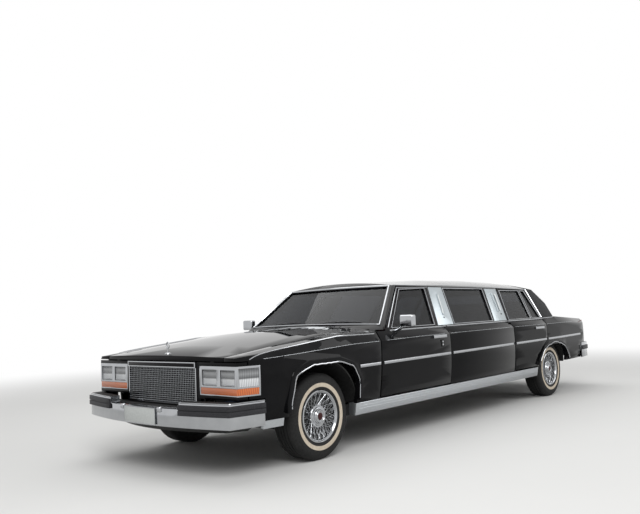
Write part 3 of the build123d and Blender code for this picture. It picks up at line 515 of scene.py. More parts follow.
def joined(pieces, name):
    slotName, body, finish = pieces[0]["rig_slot"], pieces[0]["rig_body"], pieces[0].data.materials[0]
    pick(*pieces)
    bpy.ops.object.join()
    return finishPiece(pieces[0], name, slotName, body, finish, smooth=50)


def turned(centre, section, axis, steps):  # a section of radius and distance along the axle, spun about it
    away = Vector((0, 1, 0)) if axis[0] else Vector((1, 0, 0))
    points = [Vector(centre) + away * radius + Vector(axis) * along for radius, along in section]
    clearSelection()
    bpy.ops.mesh.primitive_plane_add(size=0.01, location=points[0])
    bpy.ops.object.mode_set(mode="EDIT")
    bpy.ops.mesh.select_mode(type="VERT")
    bpy.ops.mesh.select_all(action="SELECT")
    bpy.ops.mesh.merge(type="CENTER")
    for a, b in zip(points, points[1:]):
        extrudeBy(b - a)
    bpy.ops.mesh.select_all(action="SELECT")
    bpy.ops.mesh.spin(steps=steps, angle=tau, center=centre, axis=axis)
    leaveEdit()
    tidyMesh(bpy.context.object)
    return bpy.context.object


def lathe(name, centre, section, axis, steps, slotName="bright_chrome", body="root", finish=None, smooth=35):
    return finishPiece(turned(centre, section, axis, steps), name, slotName, body, finish, smooth)


def selectFaces(piece, wanted):
    leaveEdit()
    for face in piece.data.polygons:
        face.select = wanted(face)
    for edge in piece.data.edges:
        edge.select = False
    chosen = {i for face in piece.data.polygons if face.select for i in face.vertices}
    for corner in piece.data.vertices:
        corner.select = corner.index in chosen
    bpy.ops.object.mode_set(mode="EDIT")
    bpy.ops.mesh.select_mode(type="FACE")


def cube(low, high):
    clearSelection()
    bpy.ops.mesh.primitive_cube_add(size=1, location=(low + high) / 2)
    bpy.context.object.scale = high - low
    applyPlace()
    return bpy.context.object


def block(name, low, high, slotName="chassis_black", body="root", finish=None, edge=0.004, segments=2, taper=None):
    piece = cube(Vector(low), Vector(high))
    if taper:
        selectFaces(piece, lambda face: face.normal.dot(Vector(taper[0])) > 0.9)
        bpy.ops.transform.resize(value=taper[1])
        leaveEdit()
    editAll()
    bpy.ops.mesh.bevel(offset=edge, segments=segments, affect="EDGES")
    leaveEdit()
    tidyMesh(piece)
    return finishPiece(piece, name, slotName, body, finish)


# Wheels: one is modelled at the front left, the others are its copies
wheel = {"out": 0.7835, "rearOut": 0.7713, "steps": 96, "wireSides": 6, "wireRadius": 0.0015, "wireCount": 20,
         "neck": 0.014, "neckGrow": 1.25, "collar": 0.002, "collarGrow": 1.7, "nipple": 0.012}
rearMove = (rearAxle - frontAxle, wheel["rearOut"] - wheel["out"], 0)
wheelPlaces = (("front_right", (0, 0, 0), True), ("rear_left", rearMove, False), ("rear_right", rearMove, True))
hub = (frontAxle, wheel["out"], hubHeight)

# Sections: radius and distance out from the wheel's middle, in millimetres
treadHalf = [(336, 10), (329.5, 11.5), (329.5, 16.5), (336, 18), (336, 44), (329.5, 45.5),
             (329.5, 50.5), (336, 52), (335.5, 70), (331.5, 80), (322, 91), (305, 101),
             (285, 105.5), (262, 107), (240, 106)]
tyreSection = ([(190.5, -80), (198.5, -94), (212, -100.5)] + [(r, -out) for r, out in treadHalf[::-1]]
               + treadHalf + [(212.5, 100.5), (204.5, 96), (198.5, 90), (190.5, 80), (190.5, -80)])
whitewallSection = [(226.5, 103), (228.5, 106.2), (243, 107.3), (258, 107.4), (260.5, 105.5),
                    (243, 102), (226.5, 103)]
rimSection = [
    (190, -86), (190, 83), (201.5, 89), (203.5, 93.5), (202.5, 98.5), (199, 101.5),
    (193, 101.5), (188.5, 98), (186.5, 93.5), (183, 92.5), (180.5, 89), (178.5, 80),
    (177, 60), (177, -78), (186, -88), (190, -86)]
wellSection = [(177.5, 62), (168, 52), (140, 46), (100, 44), (80, 48), (80, 36),
               (120, 34), (177.5, 40), (177.5, 62)]
hubSection = [
    (0, 96.2), (28.5, 96.2), (31, 98.5), (34, 98), (37, 95), (43.5, 95),
    (46.5, 99.5), (49.5, 99), (51.5, 94.5), (54.5, 91.5), (58.5, 91.5), (60.5, 88.5),
    (61.5, 84.5), (65.5, 83), (69.5, 83), (71.5, 79.5), (73.5, 76), (77.5, 75.5),
    (84.5, 75.5), (87.5, 72.5), (88.5, 66), (88.5, 46), (75, 30), (70, 0),
    (26, 0), (26, 85), (0, 85)]
capSection = [(0, 101), (12, 100.6), (24, 99), (28, 97.2), (28, 95.5), (0, 95.5)]
# Wires. Columns: radius and height at the hub end, radius and height at the rim end, twist in degrees
wireRows = [(0.086, 0.0735, 0.1785, 0.0895, 26), (0.086, 0.0715, 0.1785, 0.0865, -26),
            (0.0865, 0.0665, 0.1775, 0.0765, 12), (0.0865, 0.0645, 0.1775, 0.0735, -12)]


def metres(section):
    return [(radius / 1000, out / 1000) for radius, out in section]


def shoulderBlocks(piece):
    def onShoulder(face):
        place = face.center - Vector(hub)
        turn = math.degrees(math.atan2(place.z, place.x)) % 360
        return 0.0525 < abs(place.y) < 0.0795 and int(turn / (360 / wheel["steps"])) % 2 == 0
    selectFaces(piece, onShoulder)
    bpy.ops.mesh.inset(thickness=0.0035, depth=-0.005, use_individual=True)
    leaveEdit()


def grown(factor):
    bpy.ops.transform.resize(value=(factor, factor, factor))


def makeWires():
    sets = []
    for number, (r0, out0, r1, out1, twist) in enumerate(wireRows):
        a = Vector((r0, out0, 0))
        angle = math.radians(twist)
        b = Vector((r1 * math.cos(angle), out1, r1 * math.sin(angle)))
        run = b - a
        along = run.normalized()
        clearSelection()
        bpy.ops.mesh.primitive_cylinder_add(
            vertices=wheel["wireSides"], radius=wheel["wireRadius"], depth=run.length,
            location=Vector(hub) + (a + b) / 2, rotation=run.to_track_quat("Z", "Y").to_euler())
        piece = bpy.context.object
        applyPlace()
        end = Vector(hub) + b
        selectFaces(piece, lambda face: (face.center - end).length < 0.002)
        bpy.ops.transform.translate(value=-along * wheel["neck"])
        grown(wheel["neckGrow"])
        extrudeBy(along * wheel["collar"])
        grown(wheel["collarGrow"])
        extrudeBy(along * wheel["nipple"])
        bpy.ops.mesh.select_all(action="SELECT")
        bpy.ops.mesh.spin(steps=wheel["wireCount"], dupli=True, angle=tau, center=hub, axis=(0, 1, 0))
        if number % 2:
            bpy.ops.mesh.select_all(action="SELECT")
            bpy.ops.transform.rotate(value=tau / wheel["wireCount"] / 2, orient_axis="Y", center_override=hub)
        leaveEdit()
        tidyMesh(piece)
        sets.append(finishPiece(piece, "wires", "bright_chrome", "wheel_front_left"))
    return joined(sets, "wheel_wires_front_left")


def makeWheel():  # each piece with the stem of the CAD node that it stands for
    body, axle, steps = "wheel_front_left", (0, 1, 0), wheel["steps"]
    tyre = turned(hub, metres(tyreSection), axle, steps)
    shoulderBlocks(tyre)
    made = [(finishPiece(tyre, "tyre_cover_front_left", "tyre_rubber", body), "tyre_")]
    for name, section, slotName, finish, smooth, stem in (
            ("whitewall", whitewallSection, "tyre_rubber", extras["whitewall"], 35, None),
            ("rim", rimSection, "bright_chrome", None, 35, "wheel_"),
            ("wheel_well", wellSection, "bright_chrome", extras["well"], 35, None),
            ("wheel_hub", hubSection, "bright_chrome", None, 25, None),
            ("wheel_cap", capSection, "bright_chrome", extras["enamel"], 35, None)):
        piece = lathe(name + "_front_left", hub, metres(section), axle, steps, slotName, body, finish, smooth)
        made.append((piece, stem))
    return made + [(makeWires(), None)]


for piece, stem in makeWheel():
    for place, move, mirror in wheelPlaces:
        twin = copyOf(piece, piece.name.replace("front_left", place), "wheel_" + place, move, mirror, 35)
        if stem:
            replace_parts(twin, stem + place)
    if stem:
        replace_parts(piece, stem + "front_left")
print("wheels made")

# Bright trim along the left side, mirrored to the right. Places along X are mm from the front axle, heights are mm
trim = {"belt": 0.0085, "reveal": 0.008, "lip": 0.0055, "pin": 0.0016, "moulding": 0.0055, "mouldingHalf": 0.008}
mouldLine = {"front": -432, "rear": -5222, "height": 689, "rise": 29}


def shifted(pairs):
    return [(x / 1000 + frontAxle, z / 1000) for x, z in pairs]


def sideRun(name, pairs, node, radius, body, slotName="bright_chrome", flat=0.0, step=0.03):
    beads(name, seated("side", shifted(pairs), (node,), step), radius, slotName, body, flat=flat)


def mouldZ(x):
    run = mouldLine["rear"] - mouldLine["front"]
    return mouldLine["height"] + (x - mouldLine["front"]) / run * mouldLine["rise"]


# Body-side moulding, one length to each panel. Columns: name, body, CAD node, front, rear
panelRuns = (("fender", "root", "front_fenders", -432, -712),
             ("front_door", "front_door_left", "front_door_left", -732, -1882),
             ("centre", "root", "centre_panels", -1900, -3188),
             ("rear_door", "rear_door_left", "rear_door_left", -3205, -4096),
             ("quarter", "root", "rear_quarters", -4120, -5230))
for name, body, node, front, rear in panelRuns:
    sideRun("moulding_" + name, [(front, mouldZ(front)), (rear, mouldZ(rear))], node, trim["moulding"], body,
            flat=trim["mouldingHalf"])
# Pinstripe on the shoulder crease. Columns: place, height
creaseLine = ((690, 829), (278, 844), (-316, 873), (-723, 879), (-1338, 887), (-2055, 891), (-2902, 892), (-5200, 892))
crease = {"front": 640, "rear": -4980, "steps": 12}


def creaseAt(x):
    for (x0, z0), (x1, z1) in zip(creaseLine, creaseLine[1:]):
        if x1 <= x <= x0:
            return z0 + (z1 - z0) * (x - x0) / (x1 - x0)


for name, body, node, front, rear in (("fender", "root", "front_fenders", crease["front"], -712),) + panelRuns[1:]:
    span = max(rear, crease["rear"]) - front
    places = [front + span * k / crease["steps"] for k in range(crease["steps"] + 1)]
    sideRun("crease_stripe_" + name, [(x, creaseAt(x)) for x in places], node, trim["pin"], body, "brushed_trim",
            step=0.2)
# Bright top edge of the rocker panel, and two fine ribs on it
for name, z, radius in (("top", 386, 0.0045), ("mid", 362, 0.0018), ("low", 340, 0.0018)):
    sideRun("rocker_rib_" + name, [(-430, z), (-3800, z)], "sills", radius, "root", "brushed_trim", step=0.3)

# Chrome lip that follows the real edge of each wheel opening
arch = {"points": 36, "start": 0.33, "step": 0.004, "tries": 80, "outside": 0.9}


def archLip(name, xHub, node, first, last):
    points = []
    for k in range(arch["points"] + 1):
        turn = math.radians(first + (last - first) * k / arch["points"])
        for step in range(arch["tries"]):
            reach = arch["start"] + step * arch["step"]
            place = seat("side", (xHub + reach * math.cos(turn), hubHeight + reach * math.sin(turn)), (node,))
            if place and place.y > arch["outside"]:
                points.append(place + Vector((0, 0.001, 0)))
                break
    beads(name, points, trim["lip"])


archLip("front_arch_lip", frontAxle, "front_fenders", 12, 166)
archLip("rear_arch_lip", rearAxle, "rear_quarters", 16, 166)
print("side trim made")

# Bright reveal round each side window. Columns: name, body, corners
for name, body, corners in (
        ("front", "front_door_left", ((-992, 980), (-1392, 1334), (-1838, 1344), (-1704, 980))),
        ("centre", "root", ((-2067, 975), (-2181, 1343), (-3006, 1333), (-2877, 975))),
        ("rear", "rear_door_left", ((-3250, 973), (-3392, 1313), (-3874, 1308), (-3815, 973))),
        ("vent", "rear_door_left", ((-3843, 973), (-3908, 1307), (-4020, 1303), (-4077, 973)))):
    rods("reveal_" + name, onGlass([(x / 1000, z / 1000) for x, z in corners], 0.002), trim["reveal"], body,
         closed=True)
print("glasshouse trim made")

# Windshield surround, in front view: base rail, side posts, top rail
shield = {"half": 0.824, "topHalf": 0.648, "base": 1.014, "baseRise": 0.014, "top": 1.371, "topRise": 0.006,
          "radius": 0.0095}
shieldNodes = ("windshield", "roof", "cowl")
backlight = {"half": 0.583, "low": 1.177, "high": 1.291, "radius": 0.007}


def crowned(half, height, rise, count):  # a line across the car that rises in its middle, from right to left
    return [(half * k / count, height + rise * (1 - (k / count) ** 2)) for k in range(-count, count + 1)]


base = crowned(shield["half"], shield["base"], shield["baseRise"], 10)
top = crowned(shield["topHalf"], shield["top"], shield["topRise"], 8)[::-1]
shieldPairs = base + spaced([base[-1], top[0]])[1:-1] + top + spaced([top[-1], base[0]])[1:-1]
rod("windshield_surround", landed("front", shieldPairs, shieldNodes, (0.003, 0, 0.001)), shield["radius"], closed=True)
rods("door_frame_strip", onGlass([(-0.951, 0.985), (-1.372, 1.352), (-1.9, 1.354)], 0.0015), 0.0045,
     "front_door_left")
rods("roof_drip_rail", seated("side", shifted([(-1353, 1378), (-2300, 1376), (-3300, 1352), (-4085, 1326)]),
                              ("roof",), 0.06), 0.0055)
rods("rear_pillar_strip", onGlass([(-4.104, 1.326), (-4.124, 0.975)], 0.001), 0.0075)
for name, body, front, rear in (("front_door", "front_door_left", -0.945, -1.880), ("centre", "root", -1.898, -3.190),
                                ("rear_door", "rear_door_left", -3.206, -4.096)):
    beads("belt_strip_" + name, onGlass([(front, 0.9585), (rear, 0.9585)], 0.004), trim["belt"], body=body)
beads("fender_top_strip", seated("top", [(3.09, 0.905), (1.585, 0.905)], ("front_fenders",)), 0.0055)
sailBase = shifted([(-4120, 962), (-4400, 966), (-4452, 972), (-4470, 990), (-4466, 1022)])
rods("sail_base_bead", seated("side", sailBase, ("roof", "rear_quarters"), 0.03, (0, 0.001, 0)), 0.0065)
backPairs = (crowned(backlight["half"], backlight["low"], 0, 8)
             + crowned(backlight["half"], backlight["high"], 0, 8)[::-1])
rod("backlight_surround", landed("rear", backPairs, ("rear_glass", "roof"), (-0.001, 0, 0.001)), backlight["radius"],
    closed=True)
print("window trim made")

# Grille: dark band with bright edges, and fine cross wires on the fins
grille = {"face": 3.1425, "half": 0.427, "wire": 0.0011, "count": 17, "low": 0.516, "high": 0.766}
block("grille_band", (3.150, -0.428, 0.7805), (3.1578, 0.428, 0.8085), "bright_chrome", "root", extras["sheen"], 0.0015)
crossWires = []
for k in range(grille["count"]):
    z = grille["low"] + (grille["high"] - grille["low"]) * k / (grille["count"] - 1)
    crossWires.append(bead("cross_wire", [(grille["face"], -grille["half"], z), (grille["face"], grille["half"], z)],
                           grille["wire"], finish=finishes["brushed_trim"]))
joined(crossWires, "grille_cross_wires")
# Painted shade: a matt black sheet behind the fins for the dark space behind the grille
block("grille_backing", (3.084, -0.428, 0.512), (3.0905, 0.428, 0.772), "bright_chrome", "root", shadow, 0.001)
print("grille made")


def upright(x, y0, y1, z0, z1):  # four corners of a loop that faces along X
    return [(x, y0, z0), (x, y1, z0), (x, y1, z1), (x, y0, z1)]


# Headlamps: dark bezel round each pane, and a bright cup edge inside it
headlamp = {"face": 3.1315, "low": 0.650, "high": 0.764, "inset": 0.011}
for number, (inner, outer) in enumerate(((0.500, 0.665), (0.703, 0.862))):
    rods("headlamp_bezel_%d" % number, upright(headlamp["face"], inner, outer, headlamp["low"], headlamp["high"]),
         0.0042, "root", shadow, "lamp_lens", closed=True)
    cup = upright(headlamp["face"] + 0.001, inner + headlamp["inset"], outer - headlamp["inset"],
                  headlamp["low"] + headlamp["inset"], headlamp["high"] - headlamp["inset"])
    rods("headlamp_rim_%d" % number, cup, 0.0022, "root", finishes["bright_chrome"], "lamp_lens", closed=True)

# Bumper bright top edges, and the flat top faces of the bumper skins in matt black
sideways = (0, 0.001, 0)
rods("bumper_edge", seated("front", [(0.455, 0.5415), (0.89, 0.5415)], ("front_bumper",), 0.04, (0.002, 0, 0))
     + seated("side", [(3.215, 0.5415), (2.95, 0.5415)], ("front_bumper",), 0.04, sideways), 0.0045)


def darkTop(name, height):
    piece = bpy.data.objects[name]
    piece.data.materials.append(shadow)
    for face in piece.data.polygons:
        if face.normal.z > 0.9 and face.center.z > height:
            face.material_index = 1


darkTop("front_bumper_skin", 0.53)
darkTop("rear_bumper_skin", 0.59)

# Blank plates and bumper guards
plate = {"half": 0.2, "low": 0.373, "high": 0.493, "rearLow": 0.640, "rearHigh": 0.760, "edge": 0.0015}
block("front_plate", (3.3452, -plate["half"], plate["low"]), (3.3492, plate["half"], plate["high"]), "bright_chrome",
      "root", extras["plate"], plate["edge"])
rod("front_plate_frame", upright(3.3485, -plate["half"], plate["half"], plate["low"], plate["high"]), 0.0035,
    closed=True)
bothSides(block("bumper_guard_left", (3.325, 0.214, 0.462), (3.3505, 0.262, 0.508), "bright_chrome", "root", None,
                0.007, 3, ((1, 0, 0), (1, 0.7, 0.7))))
rearFace = seat("rear", (0, 0.70), ("boot_lid",)).x
block("rear_plate", (rearFace - 0.005, -plate["half"], plate["rearLow"]),
      (rearFace - 0.001, plate["half"], plate["rearHigh"]), "bright_chrome", "boot_lid", extras["plate"], plate["edge"])

# Hood ornament: plain upright oval on a round foot. Heights are from the hood
ornament = {"x": 3.075, "half": 0.019, "rise": 0.026, "middle": 0.066}
footZ = seat("top", (ornament["x"], 0), ("hood",)).z
circle = [(math.sin(tau * k / 20), math.cos(tau * k / 20)) for k in range(20)]


def onHood(y, rise):
    return (ornament["x"], y, footZ + rise)


lathe("ornament_foot", onHood(0, 0), ((0, 0.011), (0.012, 0.010), (0.022, 0.006), (0.026, -0.002), (0, -0.003)),
      (0, 0, 1), 32, body="hood")
rod("ornament_stem", [onHood(0, 0.005), onHood(0, 0.045)], 0.0032, "hood", sides=2)
rod("ornament_oval", [onHood(ornament["half"] * s, ornament["middle"] + ornament["rise"] * c) for s, c in circle],
    0.0034, "hood", closed=True, sides=2)
rod("ornament_blade", [onHood(0, 0.040), onHood(0, 0.092)], 0.0026, "hood", sides=2)

# Door mirror glass, lock plates and coach lamps
bothSides(block("mirror_glass_left", (1.2328, 0.977, 0.999), (1.2360, 1.096, 1.083), "bright_chrome",
                "front_door_left", finishes["bright_chrome"], 0.0012))
lockPlace = seat("side", (frontAxle - 1.716, 0.803), ("front_door_left",))
bothSides(block("lock_plate_left", (lockPlace.x - 0.024, lockPlace.y - 0.006, 0.770),
                (lockPlace.x + 0.024, lockPlace.y + 0.004, 0.836), "bright_chrome", "front_door_left",
                shadow, 0.002))
for k, z in enumerate((0.817, 0.789)):
    bothSides(lathe("lock_button_%d_left" % k, (lockPlace.x, lockPlace.y, z),
                    ((0, 0.0085), (0.008, 0.0082), (0.0105, 0.006), (0.0105, 0.002), (0, 0.002)), (0, 1, 0), 24,
                    "bright_chrome", "front_door_left"))

coachLamps = ((-1.945, -2.015, -1.937), (-3.160, -3.232, -3.150))  # low end, high end, dot, from the front axle
dotHeight = 1.044
for k, (low, high, dot) in enumerate(coachLamps):
    rods("coach_lamp_%d" % k, onGlass([(low, 1.086), (high, 1.272)], 0.0135), 0.0075, "root", extras["milk"],
         "brushed_trim", sides=2)
    bothSides(lathe("cover_dot_%d_left" % k, (dot + frontAxle, sideY(dotHeight) + 0.004, dotHeight),
                    ((0, 0.005), (0.006, 0.0045), (0.009, 0.002), (0.009, -0.004), (0, -0.004)), (0, 1, 0), 20,
                    "brushed_trim", "root", shadow))
print("small fittings made")

# Tail lamps: bright frame, dividing bar and a clear reversing lens
tailLamp = {"x": -3.1145, "y0": 0.793, "y1": 0.877, "z0": 0.628, "z1": 0.897}
rods("tail_lamp_frame", upright(**tailLamp), 0.0045, closed=True)
rods("tail_lamp_bar", [(tailLamp["x"], tailLamp[side], 0.700) for side in ("y0", "y1")], 0.003)
bothSides(block("reversing_lens_left", (tailLamp["x"] - 0.002, 0.799, 0.634), (tailLamp["x"] + 0.0015, 0.871, 0.696),
                "lamp_lens", "root", extras["milk"], 0.001))
rods("rear_bumper_edge", seated("rear", [(0.0, 0.5965), (0.86, 0.5965)], ("rear_bumper",), 0.05, (-0.001, 0, 0))
     + seated("side", [(-3.26, 0.5965), (-2.975, 0.5965)], ("rear_bumper",), 0.05, sideways), 0.0045)

# Seats: padded cushions and backs over the CAD benches
plush = {"voxel": 0.013, "quickVoxel": 0.0208, "pressure": 4.0, "cap": 0.024, "shrink": 0.012, "frames": 20,
         "sewn": 0.02, "depth": 0.010, "fill": 0.8}


def fatten(piece):
    rest = [v.co.copy() for v in piece.data.vertices]
    cloth = piece.modifiers.new("puff", "CLOTH")
    cloth.settings.use_pressure = True
    cloth.settings.uniform_pressure_force = plush["pressure"]
    cloth.settings.effector_weights.gravity = 0
    cloth.settings.quality = 4
    scene = bpy.context.scene
    for owner in (scene, cloth.point_cache):
        owner.frame_start, owner.frame_end = 1, plush["frames"]
    for frameNumber in range(1, plush["frames"] + 1):
        scene.frame_set(frameNumber)
    pick(piece)
    bpy.ops.object.modifier_apply(modifier="puff")
    for v, old in zip(piece.data.vertices, rest):
        moved = v.co - old
        if moved.length > plush["cap"]:
            v.co = old + moved.normalized() * plush["cap"]
    scene.frame_set(1)


def cushion(name, low, high, leanBy=(0, 0, 0), channels=5):
    # leanBy moves the top face; channels are sewn lines across the length
    shrink = Vector([plush["shrink"]] * 3)
    low, high = Vector(low) + shrink, Vector(high) - shrink
    piece = cube(low, high)
    selectFaces(piece, lambda face: face.normal.z > 0.9)
    bpy.ops.transform.translate(value=leanBy)
    bpy.ops.transform.resize(value=(0.86, 0.93, 1))
    bpy.ops.mesh.select_all(action="SELECT")
    bpy.ops.mesh.bevel(offset=0.03, segments=3, affect="EDGES")
    leaveEdit()
    piece.data.remesh_voxel_size = plush["voxel"]
    bpy.ops.object.voxel_remesh()
    fatten(piece)
    smoothed = piece.modifiers.new("finer", "SUBSURF")
    smoothed.levels = smoothed.render_levels = 1
    bpy.ops.object.modifier_apply(modifier="finer")
    span = (high.y - low.y) / channels
    for v in piece.data.vertices:
        place = (v.co.y - low.y) / span
        near = abs(place - round(place)) * span
        if near < plush["sewn"] and min(v.co.y - low.y, high.y - v.co.y) > span / 2:
            v.co -= v.normal * plush["depth"] * (1 - near / plush["sewn"]) ** 2
    finishPiece(piece, name, "seat_cloth", "root", smooth=60)
    return piece


def padTwin(piece, name, move=(0, 0, 0), mirror=False):
    twin = copyOf(piece, name, "root", move, mirror, 60)
    return twin


frontCushion = cushion("front_cushion_left", (0.45, 0.02, 0.36), (1.005, 0.675, 0.555))
frontBack = cushion("front_back_left", (0.36, 0.02, 0.50), (0.60, 0.675, 0.985), (-0.09, 0, 0))
padTwin(frontCushion, "front_cushion_right", mirror=True)
padTwin(frontBack, "front_back_right", mirror=True)
rearShift = (-2.46, -0.075, 0.125)
rearCushion = padTwin(frontCushion, "rear_cushion_left", rearShift)
rearBack = padTwin(frontBack, "rear_back_left", rearShift)
padTwin(rearCushion, "rear_cushion_right", mirror=True)
padTwin(rearBack, "rear_back_right", mirror=True)
for name, low, high in (("front_seat", (0.42, -0.66, 0.318), (0.98, 0.66, 0.40)),
                        ("rear_seat", (-2.06, -0.59, 0.523), (-1.48, 0.59, 0.56))):
    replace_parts(block(name + "_frame", low, high, "seat_cloth", "root", shadow, 0.01), name)
print("seats made")


# Door cards with arm rests and pulls, on the inside of each door
def doorCard(which, front, rear, low=0.47, high=0.90):
    body = which + "_door_left"
    middle = Vector(((front + rear) / 2, 0, (low + high) / 2))
    inner = surfaceOf(body).ray_cast(middle, Vector((0, 1, 0)))[0].y
    card = block("door_card_" + which + "_left", (rear, inner - 0.010, low), (front, inner + 0.002, high),
                 "seat_cloth", body, extras["card"])
    rest = block("arm_rest_" + which + "_left", (rear + 0.14, inner - 0.052, low + 0.20),
                 (front - 0.22, inner - 0.008, low + 0.255), "seat_cloth", body, extras["card"], 0.014, 3)
    grip = [(rear + along, inner - out, high - 0.07) for along, out in ((0.30, 0.011), (0.31, 0.026), (0.47, 0.026),
                                                                      (0.48, 0.011))]
    for piece in (card, rest, rod("door_pull_" + which + "_left", grip, 0.006, body, sides=2)):
        bothSides(piece)


doorCard("front", 1.43, 0.47)
doorCard("rear", -0.98, -1.45)

# Dash dressing: instrument hood, dials and bright strip
block("instrument_hood", (1.196, 0.20, 0.905), (1.345, 0.56, 0.958), "dash_plastic", "root", None, 0.014, 3,
      ((0, 0, 1), (0.85, 0.92, 1)))
dial = {"x": 1.1885, "z": 0.865, "radius": 0.028}
for k, y in enumerate((0.29, 0.38, 0.47)):
    ring = [(dial["x"], y + dial["radius"] * c, dial["z"] + dial["radius"] * s) for s, c in circle]
    rod("dial_ring_%d" % k, ring, 0.0028, closed=True)
bead("dash_strip", [(1.187, -0.70, 0.815), (1.187, 0.16, 0.815)], 0.004, "brushed_trim", flat=0.006)

# Air cleaner and plug leads on top of the engine
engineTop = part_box("engine")[1].z
cleaner = {"x": 2.34, "base": engineTop + 0.004, "lid": engineTop + 0.077}
lathe("air_cleaner", (cleaner["x"], 0, cleaner["base"]),
      ((0, 0.075), (0.13, 0.075), (0.145, 0.069), (0.150, 0.061), (0.165, 0.057), (0.165, 0.016), (0.150, 0.010),
       (0.08, 0.0), (0, 0.0)), (0, 0, 1), 48, "chassis_black")
lathe("air_cleaner_nut", (cleaner["x"], 0, cleaner["lid"]),
      ((0, 0.022), (0.007, 0.021), (0.010, 0.014), (0.010, 0.0), (0, 0.0)), (0, 0, 1), 20)
for k in range(4):
    x = 2.13 + 0.115 * k
    lead = [(x, y, engineTop + rise) for y, rise in ((0.05, -0.03), (0.13, 0.005), (0.232, -0.06), (0.236, -0.13))]
    rods("plug_lead_%d" % k, lead, 0.0045, "root", shadow, "chassis_black", sides=2)
print("cabin and engine dressed")

# Wipers parked on the cowl, and in front of them thin black blocks, painted shade for the air slots
for k, (y0, y1) in enumerate(((0.62, 0.10), (0.02, -0.50))):
    line = [(y0 + (y1 - y0) * q / 8, 1.034 + 0.012 * math.sin(math.pi * q / 8)) for q in range(9)]
    rod("wiper_blade_%d" % k, landed("front", line, shieldNodes, (0.008, 0, 0.001)), 0.0038, "root", shadow,
        "chassis_black")
# Painted shade: a thin matt black block on the cowl for each air slot
for k in range(11):
    y = -0.55 + 0.11 * k
    z = seat("top", (1.517, y), ("cowl",)).z
    block("cowl_slot_%d" % k, (1.505, y - 0.035, z - 0.003), (1.529, y + 0.035, z + 0.0012), finish=shadow,
          edge=0.001, segments=1)
# Boot lock and rear panel bright strip
lockZ = 0.815
lathe("boot_lock", (seat("rear", (0, lockZ), ("boot_lid",)).x, 0, lockZ),
      ((0, -0.008), (0.012, -0.007), (0.016, -0.003), (0.016, 0.002), (0, 0.002)), (1, 0, 0), 24, "bright_chrome",
      "boot_lid")
bead("boot_lid_strip", seated("rear", [(-0.66, 0.775), (0.66, 0.775)], ("boot_lid",), 0.1, (-0.001, 0, 0)), 0.004,
     body="boot_lid", flat=0.006)
print("wipers and rear fittings made")


# Engine: a V block with tilted heads, sump, fan, radiator and battery stands for the CAD block
def tiltedBlock(name, low, high, edge=0.01, taper=None):
    piece = block(name, low, high, "cast_iron", "root", extras["blockPaint"], edge, 2, taper)
    pick(piece)
    editAll()
    bpy.ops.transform.rotate(value=math.radians(35), orient_axis="X", center_override=(Vector(low) + Vector(high)) / 2)
    leaveEdit()
    bothSides(piece)


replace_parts(block("engine_crankcase", (1.96, -0.17, 0.40), (2.56, 0.17, 0.64), "cast_iron", "root",
                  extras["blockPaint"], 0.02, 2, ((0, 0, 1), (1, 1.15, 1))), "engine")
block("engine_sump", (2.02, -0.13, 0.325), (2.48, 0.13, 0.405), "cast_iron", "root", shadow, 0.02, 2,
      ((0, 0, -1), (0.7, 0.85, 1)))
tiltedBlock("cylinder_head_left", (2.01, 0.085, 0.615), (2.50, 0.215, 0.735))
tiltedBlock("engine_cover_left", (2.04, 0.135, 0.715), (2.47, 0.235, 0.775), 0.014, ((0, 0, 1), (0.96, 0.75, 1)))
block("intake_manifold", (2.08, -0.085, 0.63), (2.42, 0.085, 0.765), "cast_iron", "root", None, 0.016, 2,
      ((0, 0, 1), (0.6, 0.8, 1)))
block("carburettor", (2.30, -0.05, 0.755), (2.38, 0.05, engineTop + 0.008), "cast_iron", "root", steel, 0.008)
rods("exhaust_manifold", [(2.50, 0.235, 0.60), (2.40, 0.243, 0.585), (2.16, 0.243, 0.57), (2.02, 0.20, 0.48)], 0.022,
     slotName="exhaust_steel", sides=3)
# Fan: one blade is shaped and spun into six
fanHub = (2.66, 0, 0.60)
fan = {"out": 0.11, "size": (0.004, 0.055, 0.14), "pitch": 28, "blades": 6}
bladeMiddle = Vector((fanHub[0], 0, fanHub[2] + fan["out"]))
blade = cube(bladeMiddle - Vector(fan["size"]) / 2, bladeMiddle + Vector(fan["size"]) / 2)
editAll()
bpy.ops.transform.rotate(value=math.radians(fan["pitch"]), orient_axis="Z", center_override=bladeMiddle)
bpy.ops.mesh.spin(steps=fan["blades"], dupli=True, angle=tau, center=fanHub, axis=(1, 0, 0))
leaveEdit()
tidyMesh(blade)
finishPiece(blade, "fan_blades", "chassis_black", "root")
for name, x, z, radius in (("fan_hub", 2.635, fanHub[2], 0.045), ("crank_pulley", 2.60, 0.47, 0.075)):
    lathe(name, (x, 0, z), ((0.001, 0), (radius, 0), (radius, 0.008), (radius - 0.008, 0.013), (radius, 0.018),
                            (radius, 0.026), (0.001, 0.026)), (1, 0, 0), 32, "cast_iron", "root", steel)
block("radiator_core", (2.86, -0.36, 0.50), (2.90, 0.36, 0.76), finish=shadow, edge=0.003)
block("radiator_tank", (2.848, -0.37, 0.755), (2.912, 0.37, 0.795), finish=shadow, edge=0.012, segments=3)
fins = []
for k in range(24):
    y = -0.345 + 0.03 * k
    fins.append(block("fin", (2.8565, y - 0.0015, 0.505), (2.861, y + 0.0015, 0.755), finish=steel, edge=0.0005,
                      segments=1))
joined(fins, "radiator_fins")
for name, points in (("upper_hose", [(2.52, 0.09, 0.77), (2.60, 0.12, 0.795), (2.72, 0.17, 0.79), (2.85, 0.20, 0.775)]),
                     ("lower_hose", [(2.56, -0.10, 0.50), (2.66, -0.16, 0.49), (2.78, -0.22, 0.52),
                                     (2.87, -0.24, 0.53)])):
    rod(name, points, 0.02, "root", shadow, "chassis_black", sides=3)
block("battery", (2.66, 0.46, 0.60), (2.84, 0.60, 0.765), finish=shadow, edge=0.006)
block("battery_tray", (2.64, 0.44, 0.585), (2.86, 0.62, 0.602))
